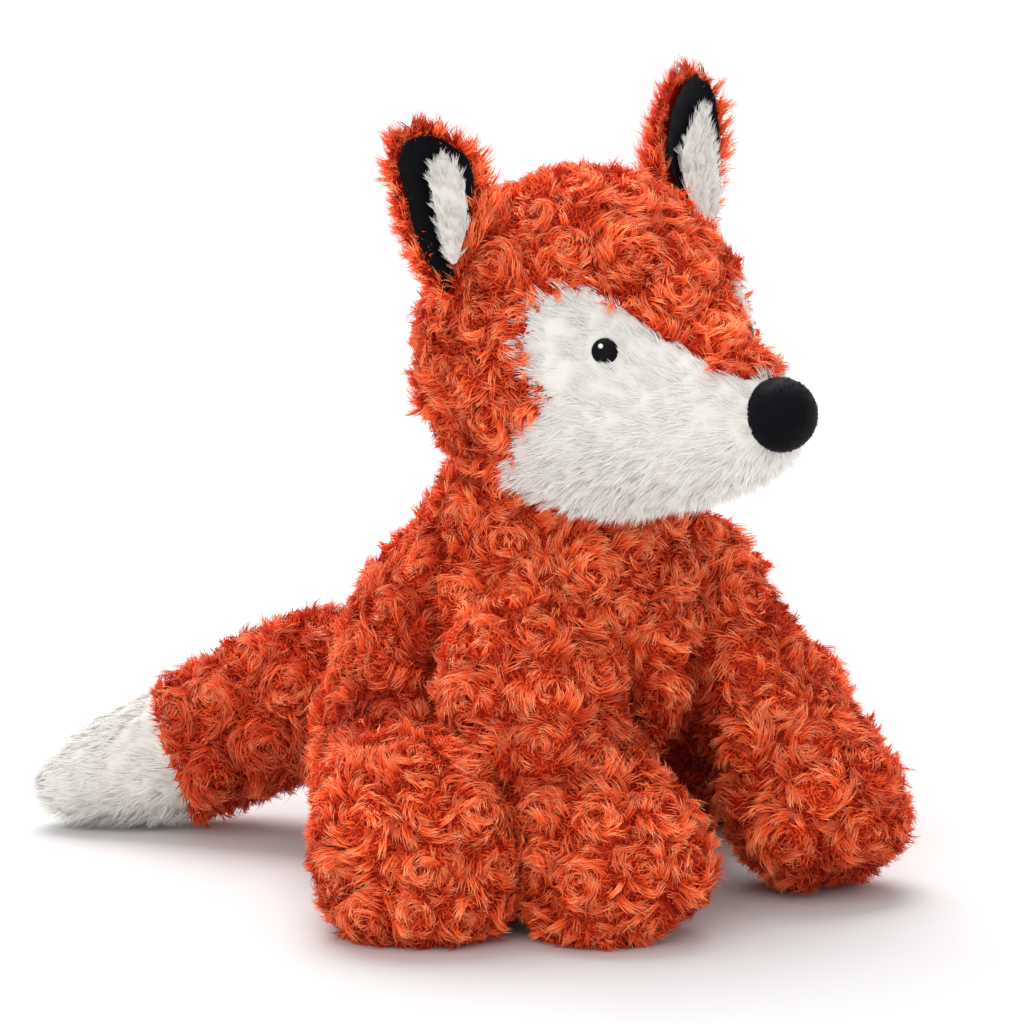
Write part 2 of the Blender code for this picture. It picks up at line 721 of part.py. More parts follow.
def make_tail(seats, orange, white):
    root = Vector((TAIL_ROOT_X, TAIL_ROOT_Y, TAIL_ROOT_RISE))
    skin, filling, *root_seats = make_limb(
        "tail_skin", tail_form, root, TAIL_ROOT_RADIUS, Z_AXIS, seats, orange
    )
    filling.name = "tail_filling"
    seam = tail_point(TAIL_SEAM_SHARE, 0, 0)
    reach = TAIL_LENGTH
    turn = Matrix.Translation(seam) @ Matrix.Rotation(TAIL_TURN + TAIL_BEND * TAIL_SEAM_SHARE, 4, "Z")
    beyond = cutter("tail_beyond", box("tail_beyond", (-reach, 0, -reach), (reach, reach, reach)))
    before = cutter("tail_before", box("tail_before", (-reach, -reach, -reach), (reach, SEAM_GAP, reach)))
    for thing in (beyond, before):
        thing.data.transform(turn)
    combine(skin, beyond)
    tip = soften(part("tail_tip", tail_form("tail_tip", 0), white))
    combine(tip, FLOOR)
    tip_hollow = soften(cutter("tail_tip_hollow", tail_form("tail_tip_hollow", CLOTH)))
    combine(tip, combine(tip_hollow, SOLE))
    combine(tip, before)
    carry("tail", root, [skin, filling, tip])
    return root_seats


clear_scene()
PARTS = collection("plush_fox")
CUTTERS = collection("cutters")

orange = material("orange_plush", ORANGE, 0.9)
white = material("white_plush", WHITE, 0.9)
black = material("black_fleece", BLACK, 0.85)
FIBRE = material("fibre_filling", FIBRE_COLOUR, 0.9)
COTTON = material("cotton", COTTON_COLOUR, 0.8)

FAR = BODY_HALF_WIDTH + HEAD_REACH + TAIL_LENGTH + CUT_OVERRUN
FLOOR = cutter("floor_cut", box("floor_cut", (-FAR, -FAR, -FAR), (FAR, FAR, 0)))
SOLE = cutter("sole_cut", box("sole_cut", (-FAR, -FAR, -FAR), (FAR, FAR, CLOTH)))
SEAT_FLOOR = cutter("seat_floor", box("seat_floor", (-FAR, -FAR, -FAR), (FAR, FAR, CLOTH + SEAM_GAP)))
NECK = neck_seat("neck_seat", 0)
HEAD_NECK = neck_seat("head_neck_seat", SEAM_GAP)
HEAD_CLEAR = soften(cutter("head_clear", head_form("head_clear", -SEAM_GAP)))
BODY_SEATS = body_seats("body_at_rest", Matrix())
TAIL_SEATS = tail_seats()

body_skin, body_filling = make_body(orange)
make_bag(body_filling)

head_pieces = make_head(orange, white) + make_nose(black) + make_eyes(black, white)
carry("head", Vector((0, -BODY_LEAN, BODY_HEIGHT)), head_pieces + make_ears(orange, black, white))

root_seats = [make_tail(TAIL_SEATS, orange, white)]
for side, word in SIDES:
    shoulder = Vector((side * SHOULDER_X, SHOULDER_Y, SHOULDER_RISE))
    hip = Vector((side * HIP_X, HIP_Y, HIP_RISE))
    for kind, form, root, radius, axis in (
        ("front_leg", front_leg_form, shoulder, SHOULDER_RADIUS, X_AXIS),
        ("hind_leg", hind_leg_form, hip, HIP_RADIUS, Z_AXIS),
    ):
        name = f"{kind}_{word}"
        own_form = partial(form, side=side)
        skin, filling, *seats = make_limb(name, own_form, root, radius, axis, BODY_SEATS, orange)
        carry(name, root, [skin, filling])
        root_seats.append(seats)
for close_seat, loose_seat in root_seats:
    combine(body_skin, close_seat)
    combine(body_filling, loose_seat)
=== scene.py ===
"""Looks of the sitting plush fox: swirl plush, white plush, fleece and fillings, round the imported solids.

Every skin is a closed surface of two parameters, and its pile is real: flat tapered strands in locks.
The fox looks along -Y, its right side is -X, and the floor is at height 0. Lengths are in metres.
"""

import json
from functools import lru_cache
from math import cos, pi, radians, sin, tan

import bpy
import numpy as np
from bpy.props import FloatProperty, FloatVectorProperty, IntProperty, PointerProperty
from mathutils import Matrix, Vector


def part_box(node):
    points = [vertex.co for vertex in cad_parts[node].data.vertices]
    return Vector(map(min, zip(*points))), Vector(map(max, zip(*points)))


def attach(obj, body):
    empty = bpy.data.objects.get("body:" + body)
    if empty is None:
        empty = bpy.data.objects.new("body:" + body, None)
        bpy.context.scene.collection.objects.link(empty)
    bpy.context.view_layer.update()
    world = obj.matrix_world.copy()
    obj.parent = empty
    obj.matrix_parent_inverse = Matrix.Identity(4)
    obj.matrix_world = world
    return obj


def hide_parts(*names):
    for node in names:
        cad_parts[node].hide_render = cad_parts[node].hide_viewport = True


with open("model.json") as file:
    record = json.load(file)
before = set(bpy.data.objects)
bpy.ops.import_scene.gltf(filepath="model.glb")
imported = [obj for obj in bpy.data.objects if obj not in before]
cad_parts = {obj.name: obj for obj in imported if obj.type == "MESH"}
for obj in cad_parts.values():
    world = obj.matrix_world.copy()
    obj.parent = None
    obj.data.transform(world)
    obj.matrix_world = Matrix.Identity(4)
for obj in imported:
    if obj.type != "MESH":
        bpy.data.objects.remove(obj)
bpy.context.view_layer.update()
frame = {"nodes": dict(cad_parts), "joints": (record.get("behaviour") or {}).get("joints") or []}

bl_info = {
    "name": "Plush fox", "version": (1, 0, 0), "blender": (4, 5, 0),
    "location": "View3D > Sidebar > Plush fox",
    "description": "Builds the pile, fleece, fillings and stage of a sitting plush fox", "category": "Object",
}

JOINTS = {joint["name"]: joint for joint in frame["joints"]}

X_AXIS = np.array([1.0, 0.0, 0.0])
Y_AXIS = np.array([0.0, 1.0, 0.0])
Z_AXIS = np.array([0.0, 0.0, 1.0])
SIDES = ((-1, "right"), (1, "left"))

# Clearances, and how deep pile lies that no pose shows
SEAM_GAP = 0.0003
FILLING_INSET = 0.0026
FLOOR_PRESS = 0.001
FLOOR_CLEAR = 0.0002
SOLE_SHARE = 0.45
HIDDEN_DEPTH = 0.0075
UNDERFUR_AREA = 7.5e-7
# the pile's middle lies where the solid's surface is, so its cloth lies this much deeper
PILE_INSETS = {"body": 0.0018, "head": 0.0004, "front_leg": 0.0030, "hind_leg": 0.0034, "tail": 0.0034}

# Where the stuffing stands out further than the form, or in: place, reach and height
PUFFS = {
    "body": [
        (-0.033, 0.012, 0.128, 0.018, -0.0035), (-0.042, 0.020, 0.118, 0.014, -0.0025),
        (-0.040, 0.030, 0.098, 0.022, 0.0050), (0.048, -0.044, 0.100, 0.018, 0.0170),
        (0.022, -0.062, 0.028, 0.026, -0.0260), (0.003, -0.066, 0.072, 0.018, 0.0050),
    ],
    "head": [
        (-0.042, -0.005, 0.162, 0.022, 0.0040), (0.000, -0.030, 0.236, 0.034, 0.0025),
        (-0.023, -0.050, 0.136, 0.026, 0.0042), (0.013, -0.070, 0.131, 0.020, -0.0025),
    ],
    "front_leg_right": [
        (-0.024, -0.090, 0.066, 0.022, -0.0070), (-0.070, -0.093, 0.008, 0.020, 0.0040),
        (-0.066, -0.055, 0.074, 0.026, 0.0100), (-0.034, -0.112, 0.003, 0.018, -0.0065),
        (-0.0246, -0.1147, 0.020, 0.016, 0.0048),
    ],
    "front_leg_left": [
        (0.063, -0.077, 0.086, 0.030, -0.0065), (0.044, -0.112, 0.002, 0.022, -0.0085),
        (0.023, -0.063, 0.038, 0.018, -0.0055), (0.022, -0.098, 0.032, 0.018, 0.0050),
    ],
    "hind_leg_right": [
        (-0.1225, -0.027, 0.028, 0.026, -0.0045), (-0.096, -0.073, 0.006, 0.026, 0.0070),
        (-0.075, -0.074, 0.034, 0.028, 0.0070), (-0.078, -0.022, 0.066, 0.018, -0.0070),
        (-0.113, -0.060, 0.052, 0.022, 0.0020),
    ],
    "tail": [(-0.015, 0.080, 0.072, 0.030, 0.0045), (-0.040, 0.080, 0.006, 0.026, -0.0040)],
}
# Lines where the cloth folds in, each with its share of the depth, and rolls out beside a fold
FOLD_DEPTH = 0.0090
FOLD_WIDTH = 0.0062
# painted shade: how much darker the pile is at the bottom of a fold, where two skins meet and in a dent
FOLD_SHADE = 0.58
SHOULDER_FOLD = [
    (-0.0475, -0.0129, 0.1147), (-0.0534, -0.0137, 0.1027), (-0.0587, -0.0178, 0.0902),
    (-0.0620, -0.0218, 0.0791), (-0.0636, -0.0254, 0.0696),
]
SHOULDER_ROLL = [(x + 0.0085, y - 0.0076, z) for x, y, z in SHOULDER_FOLD]
FOLDS = {
    "body": [
        (1.0, SHOULDER_FOLD),
        (1.0, [(-x, y, z) for x, y, z in SHOULDER_FOLD]),
        (-0.5, SHOULDER_ROLL),
        (-0.5, [(-x, y, z) for x, y, z in SHOULDER_ROLL]),
        (1.0, [
            (-0.0230, -0.0600, 0.0880), (-0.0176, -0.0646, 0.0753), (-0.0079, -0.0661, 0.0609),
            (0.0037, -0.0604, 0.0462),
        ]),
        (1.0, [(0.0160, -0.0620, 0.0760), (0.0141, -0.0644, 0.0656), (0.0139, -0.0616, 0.0542)]),
    ],
    "front_leg_right": [
        (0.5, [
            (-0.0737, -0.0894, 0.0502), (-0.0642, -0.0975, 0.0600), (-0.0530, -0.1020, 0.0640),
            (-0.0412, -0.1000, 0.0653),
        ]),
    ],
    "hind_leg_right": [
        (1.0, [
            (-0.1027, -0.0170, 0.0430), (-0.1004, -0.0204, 0.0528), (-0.0948, -0.0239, 0.0599),
            (-0.0875, -0.0320, 0.0644), (-0.0742, -0.0362, 0.0638),
        ]),
    ],
}
# Where two skins meet, both sink in over this width, and their pile takes painted shade there
CROWD_WIDTH = 0.0060
CROWD_DEPTH = 0.0010
CROWD_TOP = (0.050, 0.088)
# how far a limb's end sinks so that its smaller skin still rests on the floor
SINKS = {"front_leg_right": 0.0030}

# Body: height, width, depth and lean of each ring, as shares of the sizes
BODY_HEIGHT = 0.138
BODY_HALF_WIDTH = 0.073
BODY_HALF_DEPTH = 0.068
BODY_LEAN = 0.017
BODY_RINGS = [
    (-0.10, 0.62, 0.62, 0.00), (0.06, 0.93, 0.93, 0.00), (0.26, 1.02, 1.02, 0.08), (0.46, 0.98, 0.97, 0.30),
    (0.66, 0.84, 0.82, 0.62), (0.84, 0.66, 0.66, 0.90), (1.02, 0.54, 0.54, 1.00), (1.16, 0.40, 0.40, 1.00),
]
BODY_ENDS = (-0.17, 1.22)
NECK_RADIUS = 0.032
NECK_SKIRT_RADIUS = 0.092
NECK_SKIRT_DROP = 0.024

# Head: way forward as a share of the reach, then width, height and rise as shares of the half sizes
HEAD_HALF_WIDTH = 0.0535
HEAD_HALF_HEIGHT = 0.0525
HEAD_REACH = 0.095
HEAD_CENTRE_Y = -0.028
HEAD_CENTRE_Z = BODY_HEIGHT + 0.045
HEAD_RINGS = [
    (-0.45, 0.52, 0.54, 0.04), (-0.24, 0.90, 0.90, 0.02), (0.00, 1.03, 1.03, 0.00), (0.23, 1.00, 0.99, -0.02),
    (0.40, 0.80, 0.82, -0.14), (0.55, 0.58, 0.62, -0.285), (0.71, 0.45, 0.49, -0.33),
    (0.865, 0.36, 0.38, -0.30), (0.98, 0.27, 0.285, -0.32),
]
HEAD_ENDS = (-0.56, 1.07)

# White face panel from the side: way forward and rise, in the same shares
FACE_OUTLINE = [
    (1.20, 0.00), (0.92, -0.03), (0.81, 0.015), (0.73, 0.085), (0.585, 0.192), (0.515, 0.302), (0.40, 0.46),
    (0.335, 0.47), (0.30, 0.42), (0.277, 0.257), (0.272, 0.08), (0.31, -0.065), (0.368, -0.17),
    (0.350, -0.233), (0.285, -0.33), (0.19, -0.57), (0.11, -0.80), (0.04, -1.00), (0.04, -1.30),
    (1.20, -1.30),
]
NOSE_RADIUS = 0.012
NOSE_PLACE = (1.02, -0.240)

# Ears: way up as a share of the length, half width as a share of the base half
EAR_LENGTH = 0.047
EAR_BASE_HALF = 0.0165
EAR_THICK = 0.008
EAR_LEAN = radians(19)
EAR_TILT = radians(8)
EAR_CUP = 0.0035
EAR_TURN = radians(5)
EAR_STRETCH = {-1: 1.0, 1: 1.13}
EAR_LEVEL_SHARE = 0.5
EAR_LAYER_GAP = 0.0013
EAR_LAYER = 0.0014
EAR_RINGS = {
    -1: [(-0.04, 0.90), (0.2, 1.08), (0.45, 1.08), (0.7, 0.94), (0.88, 0.64), (1.0, 0.26)],
    1: [(-0.04, 0.90), (0.2, 1.06), (0.45, 1.06), (0.7, 0.92), (0.88, 0.66), (1.0, 0.26)],
}
EAR_FRONT = 0.0024
EAR_LINING_RINGS = {
    -1: [(-0.10, 0.08), (0.04, 0.38), (0.22, 0.66), (0.45, 0.84), (0.70, 0.83), (0.88, 0.62), (0.98, 0.34)],
    1: [(-0.10, 0.08), (0.04, 0.46), (0.22, 0.78), (0.45, 0.90), (0.70, 0.85), (0.88, 0.62), (0.98, 0.34)],
}
EAR_SHIFT = {-1: 0.0, 1: -0.0030}
EAR_WAVES = np.array([[900.0], [700.0], [1100.0]])
EAR_LINING_OUT = {-1: 0.0010, 1: -0.0026}
EAR_TIP_OUT = {-1: 0.0050, 1: 0.0}
EAR_LINING_SWING = 0.0100
EAR_PATCH_RINGS = {
    -1: [(0.04, 0.07), (0.14, 0.30), (0.30, 0.38), (0.50, 0.39), (0.62, 0.36), (0.70, 0.26), (0.77, 0.08)],
    1: [(0.02, 0.10), (0.12, 0.48), (0.28, 0.66), (0.42, 0.62), (0.56, 0.44), (0.68, 0.26), (0.79, 0.10)],
}
EAR_PATCH_SHIFT = {-1: 0.0022, 1: 0.0030}
EAR_PATCH_TIP = {-1: 0.0, 1: 0.0030}

# Limbs: way along as a share of the limb, radius as a share of the foot's
SHOULDER = (0.042, -0.047, 0.092)
FRONT_PAW = (0.0465, -0.095)
FRONT_PAW_RADIUS = 0.0295
FRONT_LEG_RINGS = [(0.02, 0.82), (0.28, 0.98), (0.60, 0.92), (0.94, 1.03), (1.20, 0.97), (1.36, 0.66)]
FRONT_LEG_ENDS = (-0.22, 1.43)
HIP = (0.060, -0.008, 0.042)
HIND_FOOT_RADIUS = 0.0325
HIND_LEG_LENGTH = 0.050
HIND_TURNS = {-1: radians(47), 1: radians(-14)}
HIND_LEG_RINGS = [(0.02, 0.84), (0.34, 0.92), (0.72, 0.96), (1.12, 1.04), (1.44, 0.95), (1.62, 0.62)]
HIND_LEG_ENDS = (-0.40, 1.72)

# Tail: way along, radius and lift of each ring
TAIL_ROOT = (-0.012, 0.052, 0.050)
TAIL_RADIUS = 0.0270
TAIL_LENGTH = 0.128
TAIL_TURN = radians(15)
TAIL_BEND = radians(45)
TAIL_SEAM = 0.58
TAIL_RINGS = [
    (0.00, 0.78, 1.00), (0.20, 1.04, 0.78), (0.44, 1.05, 0.25), (0.66, 0.92, 0.00), (0.86, 0.70, 0.00),
    (0.97, 0.45, 0.00),
]
TAIL_ENDS = (-0.16, 1.02)

# Pile: how deep the strands' roots sit in the cloth, and the areas that one trial place or spike takes
ROOT_SINK = 0.0003
SWIRL_ROOT_SINK = 0.0004
TRIAL_AREA = 1.2e-5
# a dent this deep counts as fully deep: its pile is shortest and takes the full painted shade of a fold
FULL_DENT = 0.014
# round the neck seam the head and the body touch, so no pile stands there
NECK_BARE_RADIUS = 0.030
NECK_BARE_RISE = 0.004
LINING_BARE_RADIUS = 0.0065
LINING_BARE_RISE = 0.006
LINING_FOOT_FORWARD = 0.005

# Face panels, and the places round an eye where their pile is cut short
FACE_LIFT = 0.0005
FACE_CLOTH = 0.0012
EYE_BARE = 0.0050
BEFORE_EYE = 0.0034
BEFORE_EYE_BARE = 0.0045
NOSE_OVERLAP = 0.002
# Eyes: half width, rise and lift of the thread and of the glint
EYE_THREAD = (0.0043, 0.0020, 0.0004)
EYE_GLINT = (0.0008, 0.0005, 0.0019)

# Fillings and pellets: height of the lumps, and the drawn-in seam of the sack
LUMP = 0.0012
LUMP_SIZE = 0.006
PELLET_BUMP = 0.0009
PELLET_SIZE = 0.0028
SACK_SEAM = 0.0012
SACK_SEAM_SHARE = 0.06


class FoxPile(bpy.types.PropertyGroup):
    """Lengths of the pile and the pattern it lies in."""

    spacing: FloatProperty(
        name="Rosette spacing", description="Distance between swirls", default=0.0150, unit="LENGTH"
    )
    relief: FloatProperty(
        name="Rosette relief", description="Height of a swirl's ring", default=0.0024, unit="LENGTH"
    )
    length: FloatProperty(
        name="Orange pile", description="Length of an orange strand", default=0.0082, unit="LENGTH"
    )
    white_length: FloatProperty(
        name="White pile", description="Length of a white strand", default=0.0068, unit="LENGTH"
    )
    fringe_length: FloatProperty(
        name="Ear fringe", description="Length of a strand on the ears", default=0.0085, unit="LENGTH"
    )
    width: FloatProperty(
        name="Strand width", description="Width of a strand at its root", default=0.00046, unit="LENGTH"
    )
    lock_area: FloatProperty(
        name="Area of a lock", description="Cloth that one lock stands on", default=9.0e-6, unit="AREA"
    )
    strands: IntProperty(name="Strands", description="Strands in one lock", default=11)


class FoxColours(bpy.types.PropertyGroup):
    """Colours of a strand at its root, its middle and its tip."""

    # A strand's root is darker than its middle: painted shade deep in the pile, which the cloth under the
    # pile takes as well. Its tip is lighter: a painted highlight. The white strand is shaded the same way, a
    # little.
    orange_root: FloatVectorProperty(
        name="Orange root", description="Deep in the pile",
        size=3, subtype="COLOR", default=(0.42, 0.014, 0.004),
    )
    orange_middle: FloatVectorProperty(
        name="Orange", description="Middle of a strand", size=3, subtype="COLOR", default=(0.92, 0.104, 0.026)
    )
    orange_tip: FloatVectorProperty(
        name="Orange tip", description="Lighter tip, painted highlight", size=3, subtype="COLOR", default=(0.99, 0.32, 0.145)
    )
    white_root: FloatVectorProperty(
        name="White root", description="Deep in the pile", size=3, subtype="COLOR", default=(0.87, 0.85, 0.80)
    )
    white_middle: FloatVectorProperty(
        name="White", description="Middle of a strand", size=3, subtype="COLOR", default=(0.90, 0.888, 0.85)
    )
    white_tip: FloatVectorProperty(
        name="White tip", description="Tip of a strand",
        size=3, subtype="COLOR", default=(0.915, 0.905, 0.875),
    )
    black: FloatVectorProperty(
        name="Fleece", description="Black fleece", size=3, subtype="COLOR", default=(0.0025, 0.003, 0.0045)
    )
    lint: FloatVectorProperty(
        name="Fleece tip", description="Ends of the fleece",
        size=3, subtype="COLOR", default=(0.012, 0.013, 0.016),
    )
    fibre: FloatVectorProperty(
        name="Filling", description="Polyester fibre", size=3, subtype="COLOR", default=(0.80, 0.80, 0.78)
    )
    cotton: FloatVectorProperty(
        name="Cotton", description="Unbleached cotton", size=3, subtype="COLOR", default=(0.62, 0.58, 0.50)
    )


class FoxStage(bpy.types.PropertyGroup):
    """Where the camera stands, and the light."""

    azimuth: FloatProperty(
        name="Azimuth", description="Camera's turn from the front", default=radians(-42), subtype="ANGLE"
    )
    elevation: FloatProperty(
        name="Elevation", description="Camera's angle above the floor", default=radians(13), subtype="ANGLE"
    )
    distance: FloatProperty(
        name="Distance", description="From the seat to the camera", default=3.0, unit="LENGTH"
    )
    scale: FloatProperty(name="Scale", description="Pixels to a metre at the seat", default=2950.0)
    seat_pixel: FloatVectorProperty(
        name="Seat", description="Pixel of the middle of the seat", size=2, default=(523.0, 862.0)
    )
    key: FloatProperty(name="Key light", description="Strength of the front light", default=0.88)
    top: FloatProperty(name="Top light", description="Strength of the light overhead", default=2.72)
    fill: FloatProperty(name="Fill light", description="Strength of the white room", default=0.66)


FRAME_PIXELS = 1024
SENSOR = 0.036


def unit(vectors):
    """Vectors over their own length."""
    return vectors / np.maximum(np.linalg.norm(vectors, axis=-1, keepdims=True), 1e-12)


def dot(first, second):
    """Sum of the products along the last axis, which stays."""
    return (first * second).sum(-1, keepdims=True)


def smooth(value, low, high):
    """A smooth step: 3 shares squared less 2 cubed, of how far the value is from low to high."""
    share = np.clip((value - low) / (high - low), 0, 1)
    return share * share * (3 - 2 * share)


def spline(rows, places):
    """Uniform cubic B-spline: each point is the four rows round its place, by the cubic basis weights."""
    cell = np.clip(np.floor(places).astype(int), 0, len(rows) - 4)
    share = (places - cell)[..., None]
    weights = (
        (1 - share) ** 3, 3 * share**3 - 6 * share**2 + 4, -3 * share**3 + 3 * share**2 + 3 * share + 1,
        share**3,
    )
    return sum(weight * rows[cell + k] for k, weight in enumerate(weights)) / 6


def as_it_is(points):
    """A form's points where nothing presses on them."""
    return points


def even_poles(values):
    """A grid's values with one value for all points of each pole, where its columns meet."""
    values[0] = values[0, 0]
    values[-1] = values[-1, 0]
    return values


def bell(points, place, reach):
    """A bell curve of the distance to a place: 1 there, and 1 over e where the distance is the reach."""
    return np.exp(-((points - place) ** 2).sum(-1) / reach**2)


def near(points, place, reach):
    """Whether points lie within a reach of a place."""
    return ((points - place) ** 2).sum(-1) < reach**2


class Form:
    """A closed soft form. A point is the centre plus side times the cosine plus up times the sine of an
    angle, and centre, side and up run along a cubic B-spline of rings from one pole to the other."""

    def __init__(self, centres, sides, ups, ends, settle=as_it_is):
        self.centre = np.vstack([centres[0], ends[0], centres, ends[1], centres[-1]])
        none = np.zeros(3)
        self.side = np.vstack([-sides[0], none, sides, none, -sides[-1]])
        self.up = np.vstack([-ups[0], none, ups, none, -ups[-1]])
        self.length = len(centres) + 1.0
        self.settle = settle

    def points(self, place, angle):
        around = np.cos(angle)[..., None] * spline(self.side, place)
        around = around + np.sin(angle)[..., None] * spline(self.up, place)
        return self.settle(spline(self.centre, place) + around)


def fold_depth(points, folds):
    """How deep points lie in a fold, from 0 to 1, or out on a roll: a bell curve of the way to its line."""
    depth = np.zeros(points.shape[:-1])
    for strength, line in folds:
        lying = np.zeros(points.shape[:-1])
        for start, end in zip(np.array(line[:-1]), np.array(line[1:])):
            step = end - start
            share = np.clip((points - start) @ step / (step @ step), 0, 1)
            gap = ((points - start - share[..., None] * step) ** 2).sum(-1)
            lying = np.maximum(lying, np.exp(-gap / FOLD_WIDTH**2))
        depth = np.where(np.abs(strength * lying) > np.abs(depth), strength * lying, depth)
    return depth


def crowding(points, name):
    """How near points lie to where another skin meets theirs low down, 0 to 1: a bell curve of the gap."""
    flat = points.reshape(-1, 3)
    gaps = [limb_gap(form(), flat) for other, (form, _) in limbs().items() if other != name]
    if name != "body":
        gaps.append(body_gap(flat))
    gap = np.abs(np.array(gaps) - 0.001).min(0)
    low = 1 - smooth(flat[:, 2], *CROWD_TOP)
    return (low * np.exp(-((gap / CROWD_WIDTH) ** 2))).reshape(points.shape[:-1])


class Skin:
    """A form on a grid of rows and columns, with its normals, for pile to be sown on."""

    def __init__(self, form, rows, columns, name=None):
        place = np.linspace(0, form.length, rows + 1)[:, None] + np.zeros((1, columns))
        angle = np.zeros((rows + 1, 1)) + np.arange(columns)[None] * 2 * pi / columns
        self.form = form
        self.columns = columns
        self.points = form.points(place, angle)
        self.normals = self.grid_normals(self.points)
        # depth makes the pile shorter and also darkens it with painted shade: in folds, where two skins meet
        # and in dents
        self.depth = fold_depth(self.points, FOLDS.get(name, ()))
        moved = -self.depth * FOLD_DEPTH
        if name and name != "head":
            crowd = crowding(self.points, name)
            moved = moved - crowd * CROWD_DEPTH
            self.depth = np.maximum(self.depth, crowd)
        for x, y, z, reach, height in PUFFS.get(name, ()):
            moved = moved + height * bell(self.points, (x, y, z), reach)
        if name:
            self.depth = np.maximum(self.depth, np.clip(-moved / FULL_DENT, 0, 1))
            self.points = form.settle(self.points + self.normals * moved[..., None])
            self.normals = self.grid_normals(self.points)

    def grid_normals(self, points):
        """Cross product of the steps round and along, turned outwards. A pole takes its ring's mean."""
        along = np.gradient(points, axis=0)
        around = np.roll(points, -1, 1) - np.roll(points, 1, 1)
        normals = unit(np.cross(around, along))
        normals[0] = unit(normals[1].mean(0))
        normals[-1] = unit(normals[-2].mean(0))
        middle = points.reshape(-1, 3).mean(0)
        if (normals * (points - middle)).sum() < 0:
            normals = -normals
        return normals

    def corners(self, values):
        after = np.roll(values, -1, 1)
        return values[:-1], values[1:], after[1:], after[:-1]

    def scatter(self, rng, area_each):
        """Random places spread evenly by area: points, their normals and how deep in a fold they lie."""
        a, b, c, d = self.corners(self.points)
        area = np.linalg.norm(np.cross(c - a, b - d), axis=-1).ravel() / 2
        total = np.cumsum(area)
        count = int(total[-1] / area_each)
        cell = np.minimum(np.searchsorted(total, rng.random(count) * total[-1]), len(area) - 1)
        row, column = np.divmod(cell, self.columns)
        down, over = rng.random((2, count, 1))
        mixed = []
        for values in (self.points, self.normals, self.depth[..., None]):
            a, b, c, d = (corner[row, column] for corner in self.corners(values))
            mixed.append((a * (1 - down) + b * down) * (1 - over) + (d * (1 - down) + c * down) * over)
        return mixed[0], unit(mixed[1]), mixed[2][:, 0]

    def mesh(self, points):
        """The grid as one closed surface: its poles are single points with fans of triangles."""
        rows, columns = points.shape[:2]
        inner = points[1:-1].reshape(-1, 3)
        vertices = np.vstack([points[:1, 0], inner, points[-1:, 0]])
        index = 1 + np.arange((rows - 2) * columns).reshape(rows - 2, columns)
        after = np.roll(index, -1, 1)
        quads = np.stack([index[:-1], after[:-1], after[1:], index[1:]], -1).reshape(-1, 4)
        first = np.stack([np.zeros(columns, int), after[0], index[0]], -1)
        last_point = np.full(columns, len(vertices) - 1)
        last = np.stack([last_point, index[-1], after[-1]], -1)
        return vertices, quads, np.vstack([first, last])

    def layer(self, points, shade=0.5):
        """The closed surface with its shade, ready to be put in an object."""
        return skin_layer(*self.mesh(points), shade)


class Swirls:
    """Rosettes spread over a skin. Pile lies round each like a whirl and its cloth stands up in a ring."""

    def __init__(self, skin, seed, spacing):
        self.rng = np.random.default_rng(seed)
        points, _, _ = skin.scatter(self.rng, TRIAL_AREA)
        picked = [0]
        gap = ((points - points[0]) ** 2).sum(1)
        while gap.max() > spacing**2:
            picked.append(int(gap.argmax()))
            gap = np.minimum(gap, ((points - points[picked[-1]]) ** 2).sum(1))
        self.centres = points[picked]
        count = len(picked)
        self.hand = np.where(self.rng.random(count) < 0.80, 1.0, -1.0)
        self.height = self.rng.uniform(0.55, 1.25, count)
        self.inward = radians(6) + self.rng.uniform(-0.45, 0.45, count)

    def nearest(self, points):
        """Index of each point's nearest rosette, and its way out: twice the nearest distance over the sum of
        the two nearest, so 0 in the middle and 1 where two rosettes meet."""
        index = np.zeros(len(points), int)
        way = np.zeros(len(points))
        for start in range(0, len(points), 20000):
            part = points[start : start + 20000]
            gap = ((part[:, None] - self.centres[None]) ** 2).sum(-1)
            two = np.argpartition(gap, 1, axis=1)[:, :2]
            gap = np.take_along_axis(gap, two, 1)
            order = np.argsort(gap, axis=1)
            gap = np.sqrt(np.take_along_axis(gap, order, 1))
            index[start : start + 20000] = np.take_along_axis(two, order, 1)[:, 0]
            way[start : start + 20000] = 2 * gap[:, 0] / (gap[:, 0] + gap[:, 1] + 1e-9)
        return index, way

    def rise(self, points):
        """Relief from 0 to about 1: a dimple in the middle, a ring at half way and a valley at the edge."""
        index, way = self.nearest(points)
        inside = 0.30 + 0.70 * smooth(way, 0.0, 0.5)
        outside = 1 - smooth(way, 0.5, 1.02)
        return np.where(way < 0.5, inside, outside) * self.height[index]

    def flow(self, index, normals):
        """Direction of the pile at a place: round its rosette, turned inwards."""
        centres = self.centres[index]
        inward = self.inward[index][:, None]
        hand = self.hand[index][:, None]

        def direction(points):
            out = points - centres
            out = unit(out - normals * dot(out, normals))
            round_it = np.cross(normals, out) * hand
            return np.cos(inward) * round_it - np.sin(inward) * out

        return direction


def wander(points, scale, seed):
    """Slow noise from -1 to 1: the mean of four sines in random directions."""
    rng = np.random.default_rng(seed)
    waves = rng.normal(size=(4, 3)) / scale
    return np.sin(points @ waves.T * 2 + rng.uniform(0, 2 * pi, 4)).mean(-1)


def turned(points, axis, angle, centre):
    """Points turned about an axis through the centre by Rodrigues' rule."""
    moved = points - centre
    axis = np.asarray(axis, float)
    across = np.cross(axis, moved)
    return centre + moved * cos(angle) + across * sin(angle) + axis * dot(moved, axis) * (1 - cos(angle))


